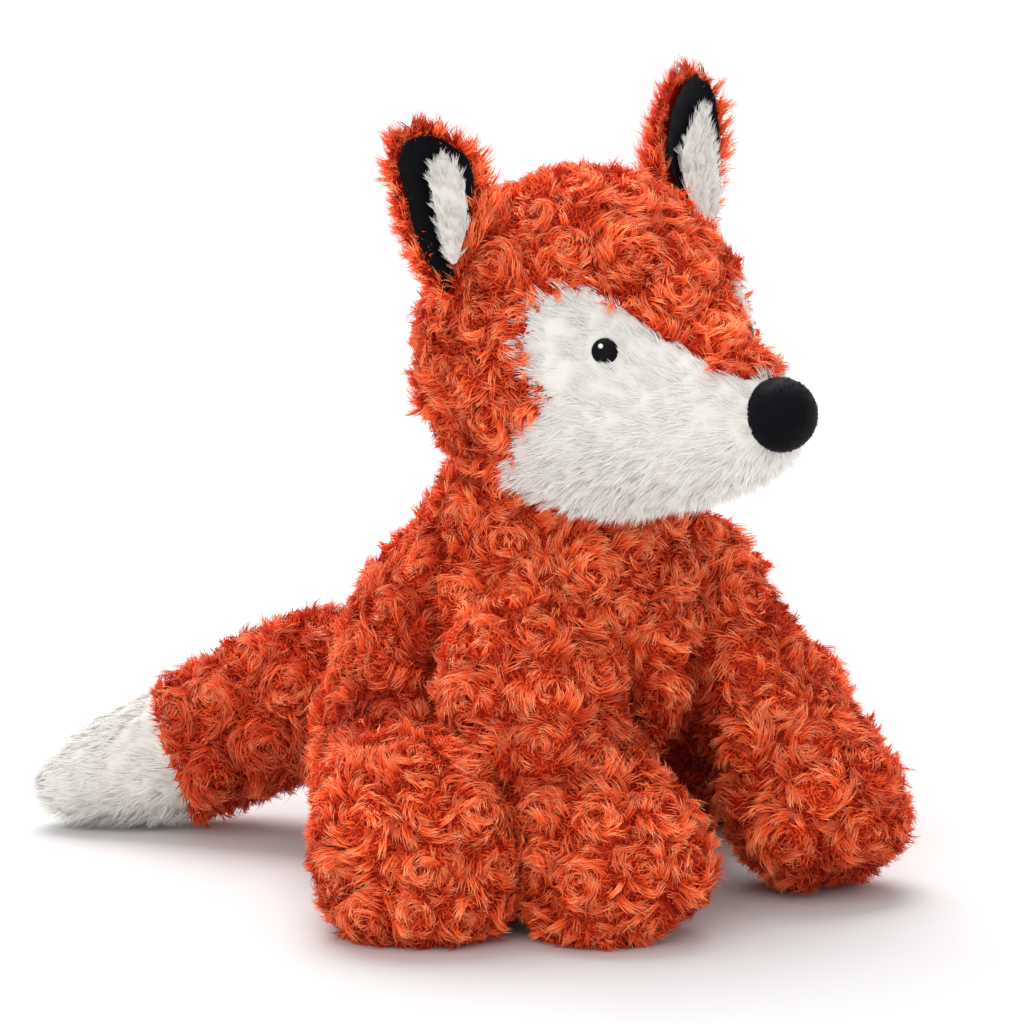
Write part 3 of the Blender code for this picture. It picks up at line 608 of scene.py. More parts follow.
def strands(roots, normals, flow, pile, rng, share_kept=1.0):
    """Locks of strands. A lock's middle line takes three steps: each goes the way of the flow, lifted off the
    cloth by its own angle. Its strands start in a small disc and gather towards the lock's tip."""
    count = len(roots)
    each = pile["strands"]
    length = pile["length"] * rng.uniform(0.75, 1.20, (count, 1)) * share_kept
    sway = rng.normal(0, pile.get("sway", 0.22), (count, 1))
    spring = rng.normal(0, pile.get("spring", 0.10), (count, 1))
    # a share of the locks is short, stands up and goes its own way, so that no cloth shows
    wild = rng.random((count, 1)) < pile.get("wild", 0.0)
    length = np.where(wild, length * 0.68, length)
    hang = pile.get("hang", 0.0) * smooth(-normals[:, 2:], 0.05, 0.7)
    sway = np.where(wild, rng.uniform(-pi, pi, (count, 1)), sway)
    spring = np.where(wild, spring + 0.30, spring)
    path = [roots]
    here = roots
    for lift in pile["lifts"]:
        lift = lift + spring + hang + rng.normal(0, 0.10, (count, 1))
        flat = flow(here)
        flat = flat * np.cos(sway) + np.cross(normals, flat) * np.sin(sway)
        here = here + (flat * np.cos(lift) + normals * np.sin(lift)) * length / 3
        path.append(here)
    path = np.stack(path, 1)[:, None]

    first = unit(np.cross(normals, Z_AXIS + 0.01 * X_AXIS))
    second = np.cross(normals, first)
    radius = pile["lock_radius"] * np.sqrt(rng.random((count, each, 1)))
    angle = rng.uniform(0, 2 * pi, (count, each, 1))
    offset = radius * (np.cos(angle) * first[:, None] + np.sin(angle) * second[:, None])
    share = np.array([0, 1 / 3, 2 / 3, 1.0])[None, None, :, None]
    gather = rng.uniform(*pile["gather"], (count, 1, 1, 1))
    own = rng.uniform(0.72, 1.12, (count, each, 1, 1))
    stray = rng.normal(0, 1, (count, each, 1, 3)) * pile["stray"]
    points = path[:, :, :1] + (path - path[:, :, :1]) * own
    points = points + offset[:, :, None] * (1 - gather * share**1.3) + stray * share**2
    points[..., 2] = np.maximum(points[..., 2], FLOOR_CLEAR + 0.0004 * rng.random(points.shape[:3]))

    along = unit(np.diff(points, axis=2))
    along = np.concatenate([along, along[:, :, -1:]], 2)
    over = normals[:, None, None]
    side = unit(np.cross(along, over + np.zeros_like(along)))
    roll = rng.normal(0, 0.32, (count, each, 1, 1))
    side = side * np.cos(roll) + np.cross(along, side) * np.sin(roll)
    width = pile["width"] * rng.uniform(0.75, 1.2, (count, each, 1, 1)) / 2
    taper = np.array([1.0, 0.95, 0.66])[None, None, :, None]
    left = points[:, :, :3] - side[:, :, :3] * width * taper
    right = points[:, :, :3] + side[:, :, :3] * width * taper
    pairs = np.stack([left, right], 3).reshape(count * each, 6, 3)
    return np.concatenate([pairs, points[:, :, 3].reshape(-1, 1, 3)], 1)


def strand_layer(points, shade):
    """Faces and strand coordinates of strands of seven points: u runs from root to tip, v is the shade."""
    count = len(points)
    start = np.arange(count)[:, None] * 7
    quads = np.concatenate([start + [0, 1, 3, 2], start + [2, 3, 5, 4]]).reshape(-1, 4)
    tris = start + [4, 5, 6]
    u = np.array([0.02, 0.02, 0.34, 0.34, 0.67, 0.67, 0.985])[None] + np.zeros((count, 1))
    v = shade[:, None] + np.array([-1, 1, -1, 1, -1, 1, 0])[None] * 0.004
    fur = np.stack([u, np.clip(v, 0.006, 0.994)], -1).reshape(-1, 2)
    return points.reshape(-1, 3), quads, tris, fur


def underfur(points, normals, rise, rng):
    """Short coarse spikes that hide the cloth between the locks: single triangles that lean every way."""
    count = len(points)
    first = unit(np.cross(normals, rng.normal(size=(count, 3))))
    second = np.cross(normals, first)
    lift = rng.uniform(0.35, 1.1, (count, 1))
    tip = points + (first * np.cos(lift) + normals * np.sin(lift)) * rng.uniform(0.0028, 0.0052, (count, 1))
    wide = second * rng.uniform(0.00030, 0.00050, (count, 1))
    vertices = np.stack([points - wide, points + wide, tip], 1)
    vertices[..., 2] = np.maximum(vertices[..., 2], FLOOR_CLEAR)
    # painted shade: the spikes are darker in the rosettes' valleys and in folds, and run only from the dark
    # root colour to past the middle
    shade = np.clip(0.36 + 0.23 * rise + rng.normal(0, 0.10, count), 0.006, 0.994)[:, None]
    u = np.array([0.03, 0.03, 0.62])[None] + np.zeros((count, 1))
    v = shade + np.array([-1, 1, 0])[None] * 0.003
    fur = np.stack([u, np.clip(v, 0.006, 0.994)], -1).reshape(-1, 2)
    return vertices.reshape(-1, 3), np.zeros((0, 4), int), np.arange(count * 3).reshape(-1, 3), fur


def skin_layer(vertices, quads, tris, shade=0.5):
    """A surface with its strand coordinates: all of it is root, with one shade or one for each point. So the
    cloth takes the root's dark colour: painted shade under the pile.
    """
    shade = np.clip(shade + np.zeros(len(vertices)), 0.006, 0.994)
    return vertices, quads, tris, np.stack([np.full(len(vertices), 0.012), shade], -1)


def put(name, layers, material, shade_smooth=True, pile=True):
    """One object at the origin from layers of points, quads, triangles and strand coordinates."""
    offset = 0
    points, quads, tris, furs = [], [], [], []
    for layer_points, layer_quads, layer_tris, fur in layers:
        points.append(layer_points)
        quads.append(np.asarray(layer_quads, int).reshape(-1, 4) + offset)
        tris.append(np.asarray(layer_tris, int).reshape(-1, 3) + offset)
        furs.append(fur)
        offset += len(layer_points)
    points, quads, tris, furs = (np.concatenate(rows) for rows in (points, quads, tris, furs))
    loops = np.concatenate([quads.ravel(), tris.ravel()])
    sizes = np.concatenate([np.full(len(quads), 4), np.full(len(tris), 3)])
    mesh = bpy.data.meshes.new(name)
    mesh.vertices.add(len(points))
    mesh.vertices.foreach_set("co", points.astype(np.float32).ravel())
    mesh.loops.add(len(loops))
    mesh.loops.foreach_set("vertex_index", loops.astype(np.int32))
    mesh.polygons.add(len(sizes))
    starts = np.concatenate([[0], np.cumsum(sizes)[:-1]])
    mesh.polygons.foreach_set("loop_start", starts.astype(np.int32))
    for map_name in ("fur", "OFBake") if pile else ():
        uv = mesh.uv_layers.new(name=map_name)
        uv.data.foreach_set("uv", furs[loops].astype(np.float32).ravel())
    mesh.polygons.foreach_set("use_smooth", np.full(len(sizes), shade_smooth))
    mesh.update(calc_edges=True)
    mesh.validate()
    thing = bpy.data.objects.new(name, mesh)
    bpy.context.scene.collection.objects.link(thing)
    mesh.materials.append(material)
    return thing


def pile_look(kind):
    """Sizes of one kind of pile."""
    made = bpy.context.scene.fox_pile
    looks = {
        "swirl": {
            "length": made.length, "width": made.width, "strands": made.strands, "area": made.lock_area,
            "lock_radius": 0.00165, "gather": (0.0, 0.65), "stray": 0.00075,
            "lifts": (radians(62), radians(30), radians(2)), "sway": 0.34, "spring": 0.18, "wild": 0.16,
        },
        "white": {
            "length": made.white_length, "width": made.width * 0.62, "strands": made.strands,
            "area": made.lock_area * 0.66, "lock_radius": 0.00190, "gather": (0.0, 0.42), "stray": 0.00045,
            "lifts": (radians(32), radians(15), radians(6)), "sway": 0.24, "hang": 0.52,
        },
        "fringe": {
            "length": made.fringe_length, "width": made.width * 0.7, "strands": made.strands,
            "area": made.lock_area * 0.55, "lock_radius": 0.00150, "gather": (0.0, 0.55), "stray": 0.00095,
            "lifts": (radians(50), radians(30), radians(14)), "sway": 0.40,
        },
        "tuft": {
            "length": made.white_length * 0.62, "width": made.width * 0.50, "strands": made.strands,
            "area": made.lock_area * 0.42, "lock_radius": 0.00120, "gather": (0.2, 0.75), "stray": 0.00040,
            "lifts": (radians(36), radians(16), radians(4)), "sway": 0.24,
        },
        "fleece": {
            "length": 0.0011, "width": 0.00016, "strands": 4, "area": 1.2e-6,
            "lock_radius": 0.00045, "gather": (0.0, 0.5), "stray": 0.00016,
            "lifts": (radians(50), radians(30), radians(10)), "sway": 1.5,
        },
    }
    return looks[kind]


# ---- forms ----


def neck_top(points):
    """Height of the neck seam: a flat disc with a skirt that falls away round it."""
    out = np.hypot(points[..., 0], points[..., 1] + BODY_LEAN)
    fall = np.clip((out - NECK_RADIUS) / (NECK_SKIRT_RADIUS - NECK_RADIUS), 0, 1)
    return BODY_HEIGHT - fall * NECK_SKIRT_DROP


def sole(inset):
    """Keeps points off the floor by a share of the inset, so that flattened pile lies under a skin."""

    def settle(points):
        points = points.copy()
        points[..., 2] = np.maximum(points[..., 2], SOLE_SHARE * inset)
        return points

    return settle


def above_neck(points):
    """Keeps points of the head a seam's gap over the neck."""
    points = points.copy()
    points[..., 2] = np.maximum(points[..., 2], neck_top(points) + SEAM_GAP)
    return points


def body_form(inset=0.0):
    """A pear of level ellipses, each a share of the body's sizes, whose middles lean forward to the neck."""
    height, width, depth, lean = np.array(BODY_RINGS).T[:, :, None]
    centres = -Y_AXIS * lean * BODY_LEAN + Z_AXIS * height * BODY_HEIGHT
    sides = X_AXIS * (width * BODY_HALF_WIDTH - inset)
    ups = Y_AXIS * (depth * BODY_HALF_DEPTH - inset)
    low, high = BODY_ENDS
    ends = (Z_AXIS * (low * BODY_HEIGHT + inset), -Y_AXIS * BODY_LEAN + Z_AXIS * (high * BODY_HEIGHT - inset))
    off_floor = sole(inset)

    def below_neck(points):
        points = off_floor(points)
        points[..., 2] = np.minimum(points[..., 2], neck_top(points))
        return points

    return Form(centres, sides, ups, ends, below_neck)


def head_point(way, rise):
    """A point of the head's middle plane: shares of the reach forward and of the half height up."""
    y = HEAD_CENTRE_Y - way * HEAD_REACH
    return Y_AXIS * y + Z_AXIS * (HEAD_CENTRE_Z + rise * HEAD_HALF_HEIGHT)


def head_form(inset=0.0):
    """Upright ellipses from the back of the skull to the end of the snout."""
    way, width, height, rise = np.array(HEAD_RINGS).T[:, :, None]
    sides = X_AXIS * (width * HEAD_HALF_WIDTH - inset)
    ups = Z_AXIS * (height * HEAD_HALF_HEIGHT - inset)
    back, front = HEAD_ENDS
    ends = (
        head_point(back, HEAD_RINGS[0][3]) - Y_AXIS * inset,
        head_point(front, HEAD_RINGS[-1][3]) + Y_AXIS * inset,
    )
    return Form(head_point(way, rise), sides, ups, ends, above_neck)


def limb_form(points, sizes, side_axis, ends, inset):
    """Rings square to the path through the points."""
    ahead = np.vstack([points[1:2] - points[:1], points[2:] - points[:-2], points[-1:] - points[-2:-1]])
    sides = unit(side_axis - ahead * dot(ahead, side_axis) / dot(ahead, ahead))
    ups = np.cross(unit(ahead), sides)
    return Form(points, sides * sizes, ups * sizes, ends, sole(inset))


def straight_limb(root, tip, rings, ends, radius, side_axis, inset):
    """Round rings along the line from root to tip, with each radius a share of the foot's."""
    way, size = np.array(rings).T[:, :, None]
    along = tip - root
    back = unit(along) * inset
    poles = (root + along * ends[0] + back, root + along * ends[1] - back)
    return limb_form(root + along * way, size * radius - inset, side_axis, poles, inset)


def front_leg_form(side, inset=0.0):
    """A limb from the shoulder down to a round paw on the floor."""
    root = np.array([side * SHOULDER[0], *SHOULDER[1:]])
    sink = SINKS["front_leg_right"] if side < 0 and inset else 0.0
    tip = np.array([side * FRONT_PAW[0], FRONT_PAW[1], FRONT_PAW_RADIUS - FLOOR_PRESS - sink])
    return straight_limb(root, tip, FRONT_LEG_RINGS, FRONT_LEG_ENDS, FRONT_PAW_RADIUS, X_AXIS, inset)


def hind_leg_form(side, inset=0.0):
    """A limb from the hip out to a round foot: the way out is turned about the hip, level."""
    turn = HIND_TURNS[side]
    root = np.array([side * HIP[0], *HIP[1:]])
    foot = root + np.array([side * cos(turn), -sin(turn), 0]) * HIND_LEG_LENGTH
    foot[2] = HIND_FOOT_RADIUS - FLOOR_PRESS
    form = straight_limb(root, foot, HIND_LEG_RINGS, HIND_LEG_ENDS, HIND_FOOT_RADIUS, Z_AXIS, inset)
    form.side = form.side * (HIND_FOOT_RADIUS + inset * 0.8) / HIND_FOOT_RADIUS
    return form


def tail_point(way, size, lift):
    """The tail's middle line: an arc on the floor that lifts to its root on the back."""
    turn = TAIL_TURN + TAIL_BEND * way
    bend_radius = TAIL_LENGTH / TAIL_BEND
    root_lift = TAIL_ROOT[2] - (TAIL_RINGS[0][1] * TAIL_RADIUS - FLOOR_PRESS)
    x = TAIL_ROOT[0] + (np.cos(turn) - cos(TAIL_TURN)) * bend_radius
    y = TAIL_ROOT[1] + (np.sin(turn) - sin(TAIL_TURN)) * bend_radius
    return np.concatenate([x, y, size * TAIL_RADIUS - FLOOR_PRESS + lift * root_lift], -1)


def tail_form(inset=0.0):
    """Round rings square to the tail's middle line, closed at both ends of it."""
    way, size, lift = np.array(TAIL_RINGS).T[:, :, None]
    points = tail_point(way, size, lift)
    start, end = TAIL_ENDS
    first = unit(points[1] - points[0])
    last = unit(points[-1] - points[-2])
    poles = (
        points[0] + first * (start * TAIL_LENGTH + inset),
        points[-1] + last * ((end - TAIL_RINGS[-1][0]) * TAIL_LENGTH - inset),
    )
    return limb_form(points, size * TAIL_RADIUS - inset, Z_AXIS, poles, inset)


def body_rings(heights):
    """Half width, half depth and middle of the body's ring at each height, read off its spline."""
    form = body_form()
    place = np.linspace(0, form.length, 200)
    centre, side, up = (spline(rows, place) for rows in (form.centre, form.side, form.up))
    return [np.interp(heights, centre[:, 2], values) for values in (side[:, 0], up[:, 1], centre[:, 1])]


def body_gap(points):
    """How far points lie outside the body's solid, along the level line from its middle."""
    wide, deep, middle = body_rings(points[:, 2])
    ahead = points[:, 1] - middle
    spread = np.hypot(points[:, 0] / np.maximum(wide, 1e-6), ahead / np.maximum(deep, 1e-6))
    return np.hypot(points[:, 0], ahead) * (1 - 1 / np.maximum(spread, 1e-6))


def limb_gap(form, points):
    """How far points lie outside a limb's solid, by the ring nearest to them."""
    place = np.linspace(0, form.length, 60)
    centre = spline(form.centre, place)
    radius = np.linalg.norm(spline(form.side, place), axis=1)
    return (np.sqrt(((points[:, None] - centre[None]) ** 2).sum(-1)) - radius).min(1)


def inside_body(points, margin):
    """Whether points lie in the body, by the ellipse of the ring at their height."""
    wide, deep, middle = body_rings(points[:, 2])
    wide, deep = wide - margin, deep - margin
    spread = (points[:, 0] / np.maximum(wide, 1e-6)) ** 2 + (
        (points[:, 1] - middle) / np.maximum(deep, 1e-6)
    ) ** 2
    return (spread < 1) & (points[:, 2] < neck_top(points) - margin) & (wide > 0)


def limits(joint_name):
    """A joint's place and axis, and its angles at rest and at both limits."""
    joint = JOINTS[joint_name]
    low, high = joint["range_deg"]
    return np.array(joint["pos_m"]), joint["axis"], sorted({0.0, radians(low), radians(high)})


# ---- materials ----


def add_node(tree, kind, inputs=None, **settings):
    made = tree.nodes.new(kind)
    for name, value in settings.items():
        setattr(made, name, value)
    for name, value in (inputs or {}).items():
        socket = made.inputs[name]
        if isinstance(value, bpy.types.NodeSocket):
            tree.links.new(value, socket)
        else:
            socket.default_value = value
    return made


def math_node(tree, operation, first, second=0.5, third=0.0, clamp=False):
    return add_node(
        tree, "ShaderNodeMath", {0: first, 1: second, 2: third}, operation=operation, use_clamp=clamp
    ).outputs[0]


def mix_colour(tree, factor, first, second, blend="MIX"):
    made = add_node(tree, "ShaderNodeMix", data_type="RGBA", blend_type=blend)
    for socket, value in zip((made.inputs[0], made.inputs[6], made.inputs[7]), (factor, first, second)):
        if isinstance(value, bpy.types.NodeSocket):
            tree.links.new(value, socket)
        else:
            socket.default_value = value
    return made.outputs[2]


def link_all(tree, target, sources):
    """Links each named socket of a node, or of a group's outputs, to its source."""
    for name, source in sources.items():
        tree.links.new(source, target[name])


def new_group(name, inputs, outputs):
    tree = bpy.data.node_groups.new(name, "ShaderNodeTree")
    for in_out, sockets in (("INPUT", inputs), ("OUTPUT", outputs)):
        for socket_name, kind in sockets:
            tree.interface.new_socket(name=socket_name, in_out=in_out, socket_type=kind)
    return tree, tree.nodes.new("NodeGroupInput").outputs, tree.nodes.new("NodeGroupOutput").inputs


@lru_cache(maxsize=None)
def strand_group():
    """Colour and roughness along a strand: root, middle and tip, darker in the valleys, streaked. The darker
    root is painted shade deep in the pile, the lighter tip a painted highlight, and the darkening in the
    valleys and folds painted shade.
    """
    colour, number = "NodeSocketColor", "NodeSocketFloat"
    tree, given, wanted = new_group(
        "Plush strand",
        [
            ("Strand", "NodeSocketVector"), ("Root", colour), ("Middle", colour), ("Tip", colour),
            ("Shade", number), ("Deepen", number),
        ],
        [("Colour", colour), ("Roughness", number)],
    )
    parts = add_node(tree, "ShaderNodeSeparateXYZ", {0: given["Strand"]})
    along, shade = parts.outputs[0], parts.outputs[1]
    lower = add_node(
        tree, "ShaderNodeMapRange", {
            0: along, 1: 0.0, 2: 0.42, 3: 0.0, 4: 1.0
        }, interpolation_type="SMOOTHSTEP"
    )
    upper = add_node(
        tree, "ShaderNodeMapRange", {
            0: along, 1: 0.45, 2: 1.0, 3: 0.0, 4: 1.0
        }, interpolation_type="SMOOTHSTEP"
    )
    base = mix_colour(tree, lower.outputs[0], given["Root"], given["Middle"])
    base = mix_colour(tree, upper.outputs[0], base, given["Tip"])
    streak_place = add_node(
        tree, "ShaderNodeVectorMath", {0: given["Strand"], 1: (2.0, 420.0, 1.0)}, operation="MULTIPLY"
    )
    streak = add_node(
        tree, "ShaderNodeTexNoise", {"Vector": streak_place.outputs[0], "Scale": 1.0, "Detail": 2.0}
    ).outputs["Fac"]
    low = math_node(tree, "SUBTRACT", 1.0, given["Shade"])
    level = math_node(tree, "MULTIPLY_ADD", shade, math_node(tree, "MULTIPLY", given["Shade"], 2.0), low)
    level = math_node(
        tree, "MULTIPLY_ADD", math_node(tree, "SUBTRACT", streak, 0.5),
        math_node(tree, "MULTIPLY", given["Shade"], 0.7), level,
    )
    colour = mix_colour(tree, 1.0, base, level_colour(tree, level, given["Deepen"]), "MULTIPLY")
    roughness = math_node(tree, "MULTIPLY_ADD", streak, 0.30, 0.42)
    link_all(tree, wanted, {"Colour": colour, "Roughness": roughness})
    return tree


def level_colour(tree, level, deepen=1.0):
    """A factor for each channel: the level for red, and its power for green and blue, so shade is redder."""
    other = math_node(tree, "POWER", level, deepen)
    return add_node(tree, "ShaderNodeCombineColor", {0: level, 1: other, 2: other}).outputs[0]


def new_material(name, **values):
    made = bpy.data.materials.new(name)
    made.use_nodes = True
    shader = made.node_tree.nodes["Principled BSDF"]
    for socket, value in values.items():
        shader.inputs[socket.replace("_", " ")].default_value = value
    return made, made.node_tree, shader


def four(colour):
    return (*colour, 1.0)


@lru_cache(maxsize=None)
def strand_material(name, root, middle, tip, shade, deepen, sheen, specular):
    made, tree, shader = new_material(
        name, Sheen_Weight=sheen, Sheen_Roughness=0.5, Specular_IOR_Level=specular
    )
    given = {
        "Strand": add_node(tree, "ShaderNodeUVMap", uv_map="fur").outputs[0], "Shade": shade, "Deepen": deepen
    }
    given |= {"Root": four(root), "Middle": four(middle), "Tip": four(tip)}
    strand = add_node(tree, "ShaderNodeGroup", given, node_tree=strand_group()).outputs
    link_all(tree, shader.inputs, {"Base Color": strand["Colour"], "Roughness": strand["Roughness"]})
    return made


def orange_material():
    made = bpy.context.scene.fox_colours
    return strand_material(
        "orange_pile", tuple(made.orange_root), tuple(
            made.orange_middle
        ), tuple(made.orange_tip), 0.60, 2.1, 0.0, 0.12
    )


def white_material():
    made = bpy.context.scene.fox_colours
    return strand_material(
        "white_pile", tuple(made.white_root), tuple(
            made.white_middle
        ), tuple(made.white_tip), 0.10, 1.2, 0.0, 0.12
    )


def black_material():
    made = bpy.context.scene.fox_colours
    return strand_material(
        "black_pile", tuple(made.black), tuple(made.black), tuple(made.lint), 0.5, 1.0, 0.015, 0.06
    )


@lru_cache(maxsize=None)
def weave_group():
    """Crossed threads and slubs of a plain cloth, or the wisps of fibre where the weave is turned down."""
    colour, number = "NodeSocketColor", "NodeSocketFloat"
    tree, given, wanted = new_group(
        "Cloth and fibre",
        [("Place", "NodeSocketVector"), ("Base", colour), ("Threads", number), ("Weave", number)],
        [("Colour", colour), ("Roughness", number), ("Height", number)],
    )
    threads = []
    for axis in "XY":
        wave = add_node(
            tree, "ShaderNodeTexWave",
            {"Vector": given["Place"], "Scale": given["Threads"], "Distortion": 0.6, "Detail": 1.0},
            bands_direction=axis,
        )
        threads.append(wave.outputs["Fac"])
    weave = math_node(tree, "MULTIPLY", threads[0], threads[1])
    wisps = add_node(
        tree, "ShaderNodeTexNoise", {
            "Vector": given["Place"], "Scale": 260.0, "Detail": 6.0, "Distortion": 2.5
        }
    ).outputs["Fac"]
    height = math_node(tree, "MULTIPLY_ADD", weave, given["Weave"], wisps)
    level = math_node(tree, "MULTIPLY_ADD", height, 0.45, 0.62)
    colour = mix_colour(tree, 1.0, given["Base"], level_colour(tree, level), "MULTIPLY")
    roughness = math_node(tree, "MULTIPLY_ADD", wisps, 0.3, 0.6)
    link_all(tree, wanted, {"Colour": colour, "Roughness": roughness, "Height": height})
    return tree


def woven(tree, shader, group, values, bump, strength):
    """Feeds the shader a group's colour, roughness and relief, laid out on object coordinates."""
    place = add_node(tree, "ShaderNodeTexCoord").outputs["Object"]
    cloth = add_node(tree, "ShaderNodeGroup", {"Place": place, **values}, node_tree=group).outputs
    relief = add_node(
        tree, "ShaderNodeBump", {"Height": cloth["Height"], "Distance": bump, "Strength": strength}
    )
    given = {"Base Color": cloth["Colour"], "Roughness": cloth["Roughness"], "Normal": relief.outputs[0]}
    link_all(tree, shader.inputs, given)


@lru_cache(maxsize=None)
def cloth_material(name, colour, threads, weave, bump):
    made, tree, shader = new_material(name, Sheen_Weight=0.15, Specular_IOR_Level=0.25)
    woven(tree, shader, weave_group(), {"Base": four(colour), "Threads": threads, "Weave": weave}, bump, 0.6)
    return made


def fibre_material():
    return cloth_material("filling_fibre", tuple(bpy.context.scene.fox_colours.fibre), 60.0, 0.0, 0.0012)


def cotton_material():
    return cloth_material("cotton_cloth", tuple(bpy.context.scene.fox_colours.cotton), 420.0, 0.8, 0.0003)


# ---- pieces ----


def finish_piece(thing, body, nodes):
    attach(thing, body)
    if nodes:
        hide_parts(*nodes)
    return thing


def swirl_plush(name, form, counts, seed, hidden, body, nodes, keep=None):
    """A stuffed skin of rosette plush: raised rings under strands that whirl round them."""
    skin = Skin(form, *counts, name.removesuffix("_plush"))
    swirls = Swirls(skin, seed, bpy.context.scene.fox_pile.spacing)
    rng = np.random.default_rng(seed + 1)
    raised, rise = raised_cloth(skin, swirls, keep)
    # the cloth is darker in the rosettes' valleys: painted shade
    layers = [
        skin.layer(raised, 0.45 + 0.3 * np.concatenate([rise[0, :1], rise[1:-1].ravel(), rise[-1, :1]])),
        sow(skin, swirls, "swirl", rng, hidden, keep), sow_under(skin, swirls, rng, hidden, keep),
    ]
    return finish_piece(put(name, layers, orange_material()), body, nodes)


def nothing_hidden(points):
    return np.zeros(len(points), bool)


def raised_cloth(skin, swirls, keep=None):
    """A skin's points lifted along their normals by the rosettes' relief, and the relief as a share."""
    flat = skin.points.reshape(-1, 3)
    rise = swirls.rise(flat)
    if keep is not None:
        rise = rise * keep(flat)
    rise = even_poles(rise.reshape(skin.points.shape[:2]))
    relief = bpy.context.scene.fox_pile.relief
    return skin.form.settle(skin.points + skin.normals * (rise * relief)[..., None]), rise


def sow_under(skin, swirls, rng, hidden, keep=None):
    """Underfur over the same cloth."""
    made = bpy.context.scene.fox_pile
    points, normals, depth = skin.scatter(rng, UNDERFUR_AREA)
    kept = ~hidden(points) | before_linings(points)
    if keep is not None:
        kept &= keep(points)
    points, normals, depth = points[kept], normals[kept], depth[kept]
    rise = swirls.rise(points)
    points = points + normals * (rise * made.relief - ROOT_SINK)[:, None]
    # painted shade in folds, where two skins meet and in dents, as in the locks
    return underfur(points, normals, rise - FOLD_SHADE * 4 * depth, rng)


def sow(skin, swirls, kind, rng, hidden, keep=None, way_of=None, tips=None, shade_shift=0.0):
    """Locks over a skin, apart from where they are hidden at every pose."""
    made = bpy.context.scene.fox_pile
    look = pile_look(kind)
    roots, normals, depth = skin.scatter(rng, look["area"])
    kept = ~hidden(roots)
    if keep is not None:
        kept &= keep(roots)
    roots, normals, depth = roots[kept], normals[kept], depth[kept]
    if swirls is not None:
        index, _ = swirls.nearest(roots)
        rise = swirls.rise(roots)
        roots = roots + normals * (rise * made.relief - SWIRL_ROOT_SINK)[:, None]
        flow = swirls.flow(index, normals)
        # painted shade: darker in the rosettes' valleys, in folds, where two skins meet and in dents; the
        # slow wander is random tone
        level = 0.45 + 0.18 * rise + 0.08 * wander(roots, 0.03, 5) - FOLD_SHADE * depth
    else:
        roots = roots - normals * ROOT_SINK
        flow = way_of(roots, normals)
        # painted light against the overhead lamp: strands that face down are lighter, strands that face up
        # darker; the slow wander is random tone
        level = 0.62 + 0.12 * wander(roots, 0.02, 5) - 0.40 * normals[:, 2]
    points = strands(roots, normals, flow, look, rng, 1 - 0.55 * depth[:, None])
    level = np.repeat(level + rng.normal(0, look.get("mottle", 0.10), len(level)), look["strands"])
    level = level + rng.normal(0, 0.07, len(level)) + shade_shift
    if tips is not None:
        kept = tips(points[:, 6])
        points, level = points[kept], level[kept]
    return strand_layer(points, level)


def hidden_limb(joint_name):
    """Strands of a limb that stay in the body at rest and at the limits of its joint."""
    place, axis, angles = limits(joint_name)

    def hidden(points):
        covered = np.ones(len(points), bool)
        for angle in angles:
            covered &= inside_body(turned(points, axis, angle, place), HIDDEN_DEPTH)
        return covered

    return hidden


@lru_cache(maxsize=None)
def limbs():
    """Each limb's form, joint and nodes."""
    made = {}
    for side, word in SIDES:
        made[f"front_leg_{word}"] = (partial_form(front_leg_form, side), f"front_leg_{word}_lift")
        made[f"hind_leg_{word}"] = (partial_form(hind_leg_form, side), f"hind_leg_{word}_splay")
    made["tail"] = (tail_form, "tail_swing")
    return made


def partial_form(form, side):
    return lambda inset=0.0: form(side, inset)


def by_neck(points):
    return np.hypot(points[:, 0], points[:, 1] + BODY_LEAN) < NECK_BARE_RADIUS


def make_body():
    def hidden(points):
        """Cloth that a limb covers at rest and at both limits, or the neck seam."""
        covered = np.zeros(len(points), bool)
        for form, joint_name in limbs().values():
            place, axis, angles = limits(joint_name)
            under = np.ones(len(points), bool)
            for angle in angles:
                under &= limb_gap(form(), turned(points, axis, -angle, place)) < -HIDDEN_DEPTH
            covered |= under
        return covered | (by_neck(points) & (points[:, 2] > BODY_HEIGHT - NECK_BARE_RISE))

    return swirl_plush(
        "body_plush", body_form(PILE_INSETS["body"]), (110, 168), 11, hidden, "body", ["body_skin"]
    )


def in_face(points):
    """Whether points lie within the white panel's outline, seen from the side, by counting crossed edges."""
    way = (HEAD_CENTRE_Y - points[..., 1]) / HEAD_REACH
    rise = (points[..., 2] - HEAD_CENTRE_Z) / HEAD_HALF_HEIGHT
    rise = rise + 0.07 * (points[..., 0] > 0) * smooth(rise, 0.0, 0.2)
    corners = np.array(FACE_OUTLINE)
    inside = np.zeros(way.shape, bool)
    for (x0, y0), (x1, y1) in zip(corners, np.roll(corners, -1, 0)):
        if y0 == y1:
            continue
        crosses = (rise < y0) != (rise < y1)
        inside ^= crosses & (way < x0 + (rise - y0) * (x1 - x0) / (y1 - y0))
    return inside


def under_head(points):
    return by_neck(points) & (points[:, 2] < BODY_HEIGHT + NECK_BARE_RISE)


def before_linings(points):
    """Whether points of the head lie in front of an ear lining's foot."""
    before = np.zeros(len(points), bool)
    for side, word in SIDES:
        root, _, up, level, forward, _ = ear_frame(side, word)
        out = side * (EAR_LINING_OUT[side] + EAR_LINING_SWING) + EAR_SHIFT[side]
        foot = root + level * out + forward * LINING_FOOT_FORWARD
        along = np.clip(dot(points - foot, up), -LINING_BARE_RISE, LINING_BARE_RISE)
        before |= near(points - foot, along * up, LINING_BARE_RADIUS)
    return before


def bare_head(points):
    return under_head(points) | before_linings(points)


def make_head():
    def keep(points):
        return ~in_face(points)

    return swirl_plush(
        "head_plush", head_form(
            PILE_INSETS["head"]
        ), (120, 160), 23, bare_head, "head", ["head_skin"], keep
    )


